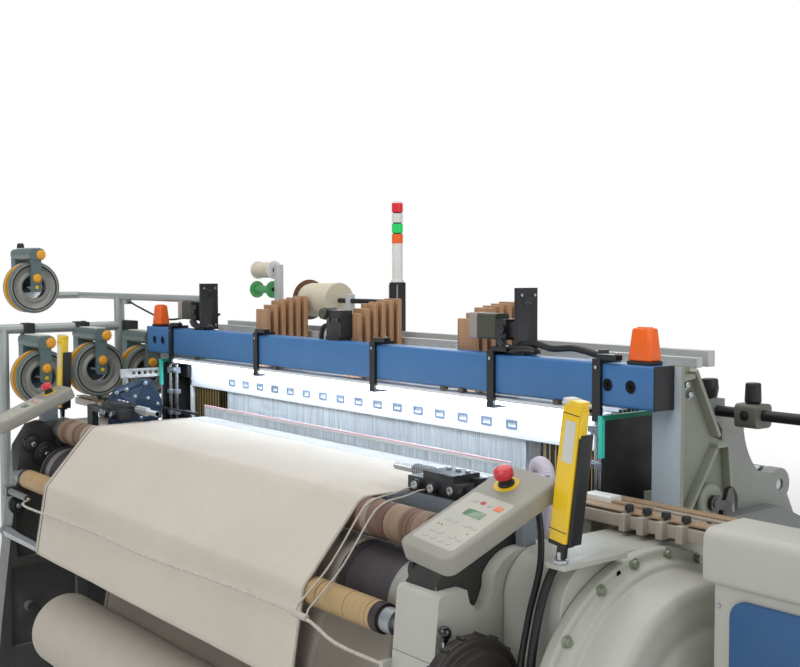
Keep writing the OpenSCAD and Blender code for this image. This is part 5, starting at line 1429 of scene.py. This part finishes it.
# Painted and plain surfaces, in the order of surface(): colour or the setting that holds it, roughness,
# metal, drift of the colour, patch scale, grain, grain scale, coat, dirt, stretch, colour of the dirt
SURFACES = {
    "dark casting": ((120, 124, 122), 0.45, 0, 0.12, 6, 0.3, 420, 0, 0.35),
    # The next two are painted shade on the side frames: their inward faces and their front top.
    "inner casting": ((72, 72, 70), 0.5, 0, 0.15, 6, 0.3, 420, 0, 0.3),
    "frame shade": ((46, 45, 43), 0.5, 0, 0.15, 6, 0.3, 420),
    "clamp grey": ((98, 100, 92), 0.4, 0, 0.1, 6, 0.25, 420, 0, 0.2),
    "grey casting": ((150, 154, 152), 0.45, 0, 0.1, 6, 0.25, 420, 0, 0.2),
    "pale casting": ((140, 144, 131), 0.42, 0, 0.06, 6, 0.3, 500, 0, 0.15),
    "blue casting": ((184, 196, 206), 0.4, 0, 0.06, 6, 0.3, 500),
    "beam blue": ("beam_colour", 0.38, 0, 0.06, 5, 0.12, 700, 0, 0.1),
    "orange lens": ("lamp_colour", 0.34, 0, 0.05, 6, 0.1, 300, 0.15),
    "lamp white": ((226, 230, 232), 0.4, 0, 0.03),
    "black plastic": ((26, 27, 29), 0.42, 0, 0.15, 6, 0.25, 1200),
    "gloss black": ((16, 17, 18), 0.16, 0, 0.1, 6, 0.05, 900, 0.6),
    "brown black plastic": ((42, 37, 34), 0.45, 0, 0.12, 6, 0.3, 900),
    "device black": ((34, 36, 39), 0.38, 0, 0.2, 6, 0.3, 800, 0, 0.1, None, (120, 116, 108)),
    "device face": ((158, 146, 146), 0.45, 0, 0.08, 6, 0.2),
    "device olive": ((72, 74, 62), 0.5, 0, 0.12, 6, 0.2),
    "black steel": ((22, 23, 25), 0.32, 0, 0.12, 6, 0.2, 700),
    "bright steel": ((178, 182, 186), 0.24, 1.0, 0.08, 14, 0.08, 900, 0, 0, (1, 3, 3)),
    "chrome": ((196, 200, 204), 0.12, 1.0, 0.05, 6, 0.03),
    "green steel": ((150, 160, 140), 0.35, 0.6, 0.12, 30, 0.15),
    "pale rail": ((198, 200, 198), 0.4, 0.25, 0.05, 6, 0.12, 900, 0, 0.12, (0.3, 2, 2)),
    "pipe grey": ((168, 174, 172), 0.38, 0.3, 0.07, 6, 0.15, 900, 0, 0.15),
    "white plastic": ((226, 227, 222), 0.38, 0, 0.03, 6, 0.1),
    "pale plastic": ((206, 207, 200), 0.42, 0, 0.05, 6, 0.15),
    "green plastic": ((92, 176, 108), 0.4, 0, 0.08, 6, 0.1),
    "yellow plastic": ((228, 190, 24), 0.35, 0, 0.05, 6, 0.1),
    "orange plastic": ((236, 166, 44), 0.35, 0, 0.06, 6, 0.15),
    "curtain yellow": ("curtain_colour", 0.3, 0, 0.05, 6, 0.08, 900, 0.3),
    "brown sleeve": ((104, 74, 52), 0.6, 0, 0.15, 6, 0.3),
    "tan sleeve": ((176, 150, 112), 0.7, 0, 0.12, 6, 0.3, 900, 0, 0, (1, 8, 8)),
    "tan wood": ((96, 84, 70), 0.6, 0, 0.15, 6, 0.3),
    "heald white": ((224, 228, 232), 0.35, 0.1, 0.04, 6, 0.1, 900, 0, 0, (0.4, 3, 3)),
    "heddle steel": ((222, 230, 240), 0.35, 0.1, 0.3, 60, 0.05, 900, 0, 0, (3, 3, 0.1)),
    "slot rim": ((112, 130, 156), 0.45, 0.2, 0.08, 6, 0.1),
    "guard black": ((24, 26, 27), 0.5, 0, 0.2, 6, 0.3),
    "guard teal": ((0, 140, 106), 0.4, 0, 0.08, 6, 0.15),
    "guard turquoise": ((64, 214, 196), 0.4, 0, 0.08, 6, 0.15),
    "reed pink": ((230, 190, 196), 0.45, 0, 0.06, 6, 0.1, 900, 0, 0, (0.4, 3, 3)),
    "sley paint": ((132, 140, 148), 0.42, 0.2, 0.1, 6, 0.2, 900, 0, 0.2),
    "rapier carbon": ((58, 62, 66), 0.35, 0.3, 0.15, 60, 0.3, 900, 0, 0, (0.3, 4, 4)),
    "guide strip": ((178, 170, 158), 0.42, 0.25, 0.08, 6, 0.2, 900, 0, 0.25),
    "spare heddle": ((44, 46, 50), 0.4, 0.5, 0.2, 6, 0.1),
    "spare yellow": ((168, 132, 58), 0.5, 0, 0.15, 6, 0.1),
    "edge shadow": ((112, 104, 96), 0.85, 0, 0.25, 50, 0.4, 1800),
    "warp yarn": ((232, 232, 230), 0.8, 0, 0.08, 90, 0.3, 2500),
    "selvedge": ((176, 168, 158), 0.85, 0, 0.15, 50, 0.4, 1800),
    "cord": ((188, 181, 171), 0.85, 0, 0.18, 120, 0.6, 2200),
    "hose": ((198, 190, 204), 0.3, 0, 0.06, 6, 0.1, 900, 0.3),
    "cable": ((28, 29, 31), 0.4, 0, 0.15, 6, 0.2, 1500),
    "cover paint": ("cover_colour", 0.4, 0, 0.045, 4, 0.18, 800, 0, 0.1),
    "panel blue": ((46, 89, 136), 0.4, 0, 0.06, 6, 0.15),
    "plate blue": ((42, 64, 88), 0.38, 0.15, 0.1, 6, 0.25, 900, 0, 0.2),
    "arm grey": ((138, 140, 136), 0.42, 0, 0.08, 6, 0.25, 420, 0, 0.2),
    "console plastic": ((148, 146, 136), 0.45, 0, 0.04, 6, 0.3, 1400),
    "membrane": ((180, 178, 168), 0.4, 0, 0.04, 6, 0.1),
    "display": ((84, 124, 92), 0.15, 0, 0.15, 60, 0.02, 900, 0.6),
    "key orange": ((222, 124, 92), 0.4, 0, 0.05, 6, 0.1),
    "key red": ((176, 62, 60), 0.4, 0, 0.05, 6, 0.1),
    "key grey": ((176, 174, 168), 0.4, 0, 0.06, 6, 0.1),
    "stop red": ((206, 36, 48), 0.28, 0, 0.05, 6, 0.05, 900, 0.5),
    "feeder teal": ((92, 112, 112), 0.35, 0, 0.08, 6, 0.2, 900, 0, 0.1),
    "feeder grey": ((152, 152, 146), 0.3, 0.25, 0.04, 8, 0.08),
}

# Finishes of other kinds: the maker and what it takes after the name
FINISHES = {
    "red lens": (lit, (196, 30, 46), 0.35),
    "green lens": (lit, (24, 178, 84), 0.5),
    "lamp glow": (lit, (226, 240, 255), 12.0),
    "bobbin yarn": (yarn_wound, (226, 216, 190), 2200),
    "brown wood": (wooden, (176, 136, 100)),
    "guide wood": (wooden, (158, 134, 108)),
    "warp sheet yarn": (yarn_wound, (226, 224, 218), 1570),
    "beam yarn": (yarn_wound, (222, 219, 210), 1570),
    "woven cloth": (woven, "cloth_colour"),
    "rolled cloth": (yarn_wound, (196, 187, 174), 900, 0.88),
    "breast bands": (banded, [(0, (138, 112, 92), 0), (0.822, (172, 156, 136), 0), (0.85, (128, 102, 86), 0),
                              (0.902, (112, 82, 74), 0), (0.918, (150, 126, 104), 0),
                              (0.97, (122, 96, 80), 0), (1.02, (140, 116, 98), 0),
                              (1.059, (150, 154, 156), 0.9)], 0.6),
    "guide bands": (banded, [(0, (186, 156, 112), 0), (1.048, (48, 44, 44), 0),
                             (1.0795, (180, 184, 188), 1.0)], 0.5),
    "takeup bands": (banded, [(0, (62, 58, 61), 0), (0.84, (70, 65, 69), 0), (1.006, (192, 190, 184), 0.8),
                              (1.046, (58, 54, 58), 0), (1.0855, (176, 178, 180), 0.5)], 0.5, 0.3, 1500),
}


# Settings, operators and panel


def size_setting(name, description, default, low, high):
    """A size property in millimetres."""
    return FloatProperty(name=name, description=description + " in millimetres", default=default,
                         min=low, max=high)


def colour_setting(name, description, rgb):
    """A colour property whose default is given as 0 to 255 sRGB values."""
    return FloatVectorProperty(name=name, description=description, subtype="COLOR_GAMMA", size=3,
                               min=0.0, max=1.0, default=[v / 255 for v in rgb])


class LoomSettings(bpy.types.PropertyGroup):
    """Sizes and colours that the operators use."""

    casting_edge: size_setting("Casting edge", "Radius of the castings' rounded edges", 4.0, 0.5, 8.0)
    cover_edge: size_setting("Cover edge", "Radius of the covers' rounded edges", 7.0, 1.0, 12.0)
    beam_corner: size_setting("Beam corner", "Corner radius of the top beam", 8.0, 1.0, 20.0)
    ripple: size_setting("Cloth ripple", "Height of the cloth's ripples", 1.4, 0.0, 3.0)
    thread_pitch: size_setting("Thread pitch", "Distance from one warp thread to the next", 4.0, 3.0, 8.0)
    dent_pitch: size_setting("Dent pitch", "Distance from one reed dent to the next", 4.0, 3.0, 8.0)
    beam_colour: colour_setting("Beam", "Paint of the top beam", (63, 118, 175))
    lamp_colour: colour_setting("Lamps", "Lenses of the two lamps on the beam", (250, 104, 10))
    curtain_colour: colour_setting("Light curtains", "Housings of the light curtains", (236, 196, 22))
    cloth_colour: colour_setting("Cloth", "The woven cloth", (214, 205, 191))
    cover_colour: colour_setting("Covers", "Paint of the moulded covers", (182, 182, 173))


class LOOM_OT_stage(bpy.types.Operator):
    """Makes the floor, lamps, world and camera"""

    bl_idname = "loom.stage"
    bl_label = "Stage"

    def execute(self, context):
        make_stage()
        return {"FINISHED"}


class LOOM_OT_cords(bpy.types.Operator):
    """Makes the waste cord, its loops, the hose and the cables"""

    bl_idname = "loom.cords"
    bl_label = "Cords"

    def execute(self, context):
        make_cords()
        return {"FINISHED"}


class LOOM_OT_castings(bpy.types.Operator):
    """Dresses the side frames, uprights and arms"""

    bl_idname = "loom.castings"
    bl_label = "Castings"

    def execute(self, context):
        make_castings(context.scene.loom_settings.casting_edge)
        return {"FINISHED"}


class LOOM_OT_beam(bpy.types.Operator):
    """Makes the beam, its lamps, hooks and light bar"""

    bl_idname = "loom.beam"
    bl_label = "Top beam"

    def execute(self, context):
        make_beam(context.scene.loom_settings.beam_corner)
        return {"FINISHED"}


class LOOM_OT_rails(bpy.types.Operator):
    """Makes the rails, signal tower and bobbins"""

    bl_idname = "loom.rails"
    bl_label = "Rails"

    def execute(self, context):
        make_rails()
        return {"FINISHED"}


class LOOM_OT_healds(bpy.types.Operator):
    """Makes the heald frames and dresses their guards"""

    bl_idname = "loom.healds"
    bl_label = "Healds"

    def execute(self, context):
        make_healds()
        return {"FINISHED"}


class LOOM_OT_reed(bpy.types.Operator):
    """Makes the reed and its guides, and dresses the sley and rapiers"""

    bl_idname = "loom.reed"
    bl_label = "Reed"

    def execute(self, context):
        make_reed(context.scene.loom_settings.dent_pitch)
        return {"FINISHED"}


class LOOM_OT_warp(bpy.types.Operator):
    """Makes the warp threads, drop wires and warp beam"""

    bl_idname = "loom.warp"
    bl_label = "Warp"

    def execute(self, context):
        make_warp(context.scene.loom_settings.thread_pitch)
        return {"FINISHED"}


class LOOM_OT_cloth(bpy.types.Operator):
    """Makes the cloth and the wound roll"""

    bl_idname = "loom.cloth"
    bl_label = "Cloth"

    def execute(self, context):
        make_cloth(context.scene.loom_settings.ripple)
        return {"FINISHED"}


class LOOM_OT_rollers(bpy.types.Operator):
    """Makes the rollers"""

    bl_idname = "loom.rollers"
    bl_label = "Rollers"

    def execute(self, context):
        make_rollers()
        return {"FINISHED"}


class LOOM_OT_covers(bpy.types.Operator):
    """Makes the covers, end boxes and plates"""

    bl_idname = "loom.covers"
    bl_label = "Covers"

    def execute(self, context):
        make_covers(context.scene.loom_settings.cover_edge)
        return {"FINISHED"}


class LOOM_OT_consoles(bpy.types.Operator):
    """Makes the consoles and stop buttons"""

    bl_idname = "loom.consoles"
    bl_label = "Consoles"

    def execute(self, context):
        make_consoles()
        return {"FINISHED"}


class LOOM_OT_curtains(bpy.types.Operator):
    """Makes the light curtains"""

    bl_idname = "loom.curtains"
    bl_label = "Light curtains"

    def execute(self, context):
        make_curtains()
        return {"FINISHED"}


class LOOM_OT_handles(bpy.types.Operator):
    """Makes the handwheel, knob and lever"""

    bl_idname = "loom.handles"
    bl_label = "Handles"

    def execute(self, context):
        make_handles()
        return {"FINISHED"}


class LOOM_OT_feeders(bpy.types.Operator):
    """Makes the weft feeders and dresses their stand"""

    bl_idname = "loom.feeders"
    bl_label = "Feeders"

    def execute(self, context):
        make_feeders()
        return {"FINISHED"}


class LOOM_OT_devices(bpy.types.Operator):
    """Makes the selvedge devices and temples"""

    bl_idname = "loom.devices"
    bl_label = "Devices"

    def execute(self, context):
        make_devices()
        return {"FINISHED"}


# In the order in which main runs them
OPERATORS = [LOOM_OT_stage, LOOM_OT_cords, LOOM_OT_castings, LOOM_OT_beam, LOOM_OT_rails,
             LOOM_OT_healds, LOOM_OT_reed, LOOM_OT_warp, LOOM_OT_cloth, LOOM_OT_rollers,
             LOOM_OT_covers, LOOM_OT_consoles, LOOM_OT_curtains, LOOM_OT_handles, LOOM_OT_feeders,
             LOOM_OT_devices]


class LOOM_PT_panel(bpy.types.Panel):
    """Buttons and sizes in the sidebar of the 3D view."""

    bl_label = "Power loom"
    bl_space_type = "VIEW_3D"
    bl_region_type = "UI"
    bl_category = "Loom"

    def draw(self, context):
        for name in LoomSettings.__annotations__:
            self.layout.prop(context.scene.loom_settings, name)
        for operator in OPERATORS:
            self.layout.operator(operator.bl_idname)


CLASSES = [LoomSettings, *OPERATORS, LOOM_PT_panel]


def register():
    for item in CLASSES:
        bpy.utils.register_class(item)
    bpy.types.Scene.loom_settings = PointerProperty(type=LoomSettings)


def unregister():
    del bpy.types.Scene.loom_settings
    for item in reversed(CLASSES):
        bpy.utils.unregister_class(item)


def main():
    register()
    for operator in OPERATORS:
        getattr(bpy.ops.loom, operator.bl_idname.split(".")[1])()


if __name__ == "__main__":
    main()
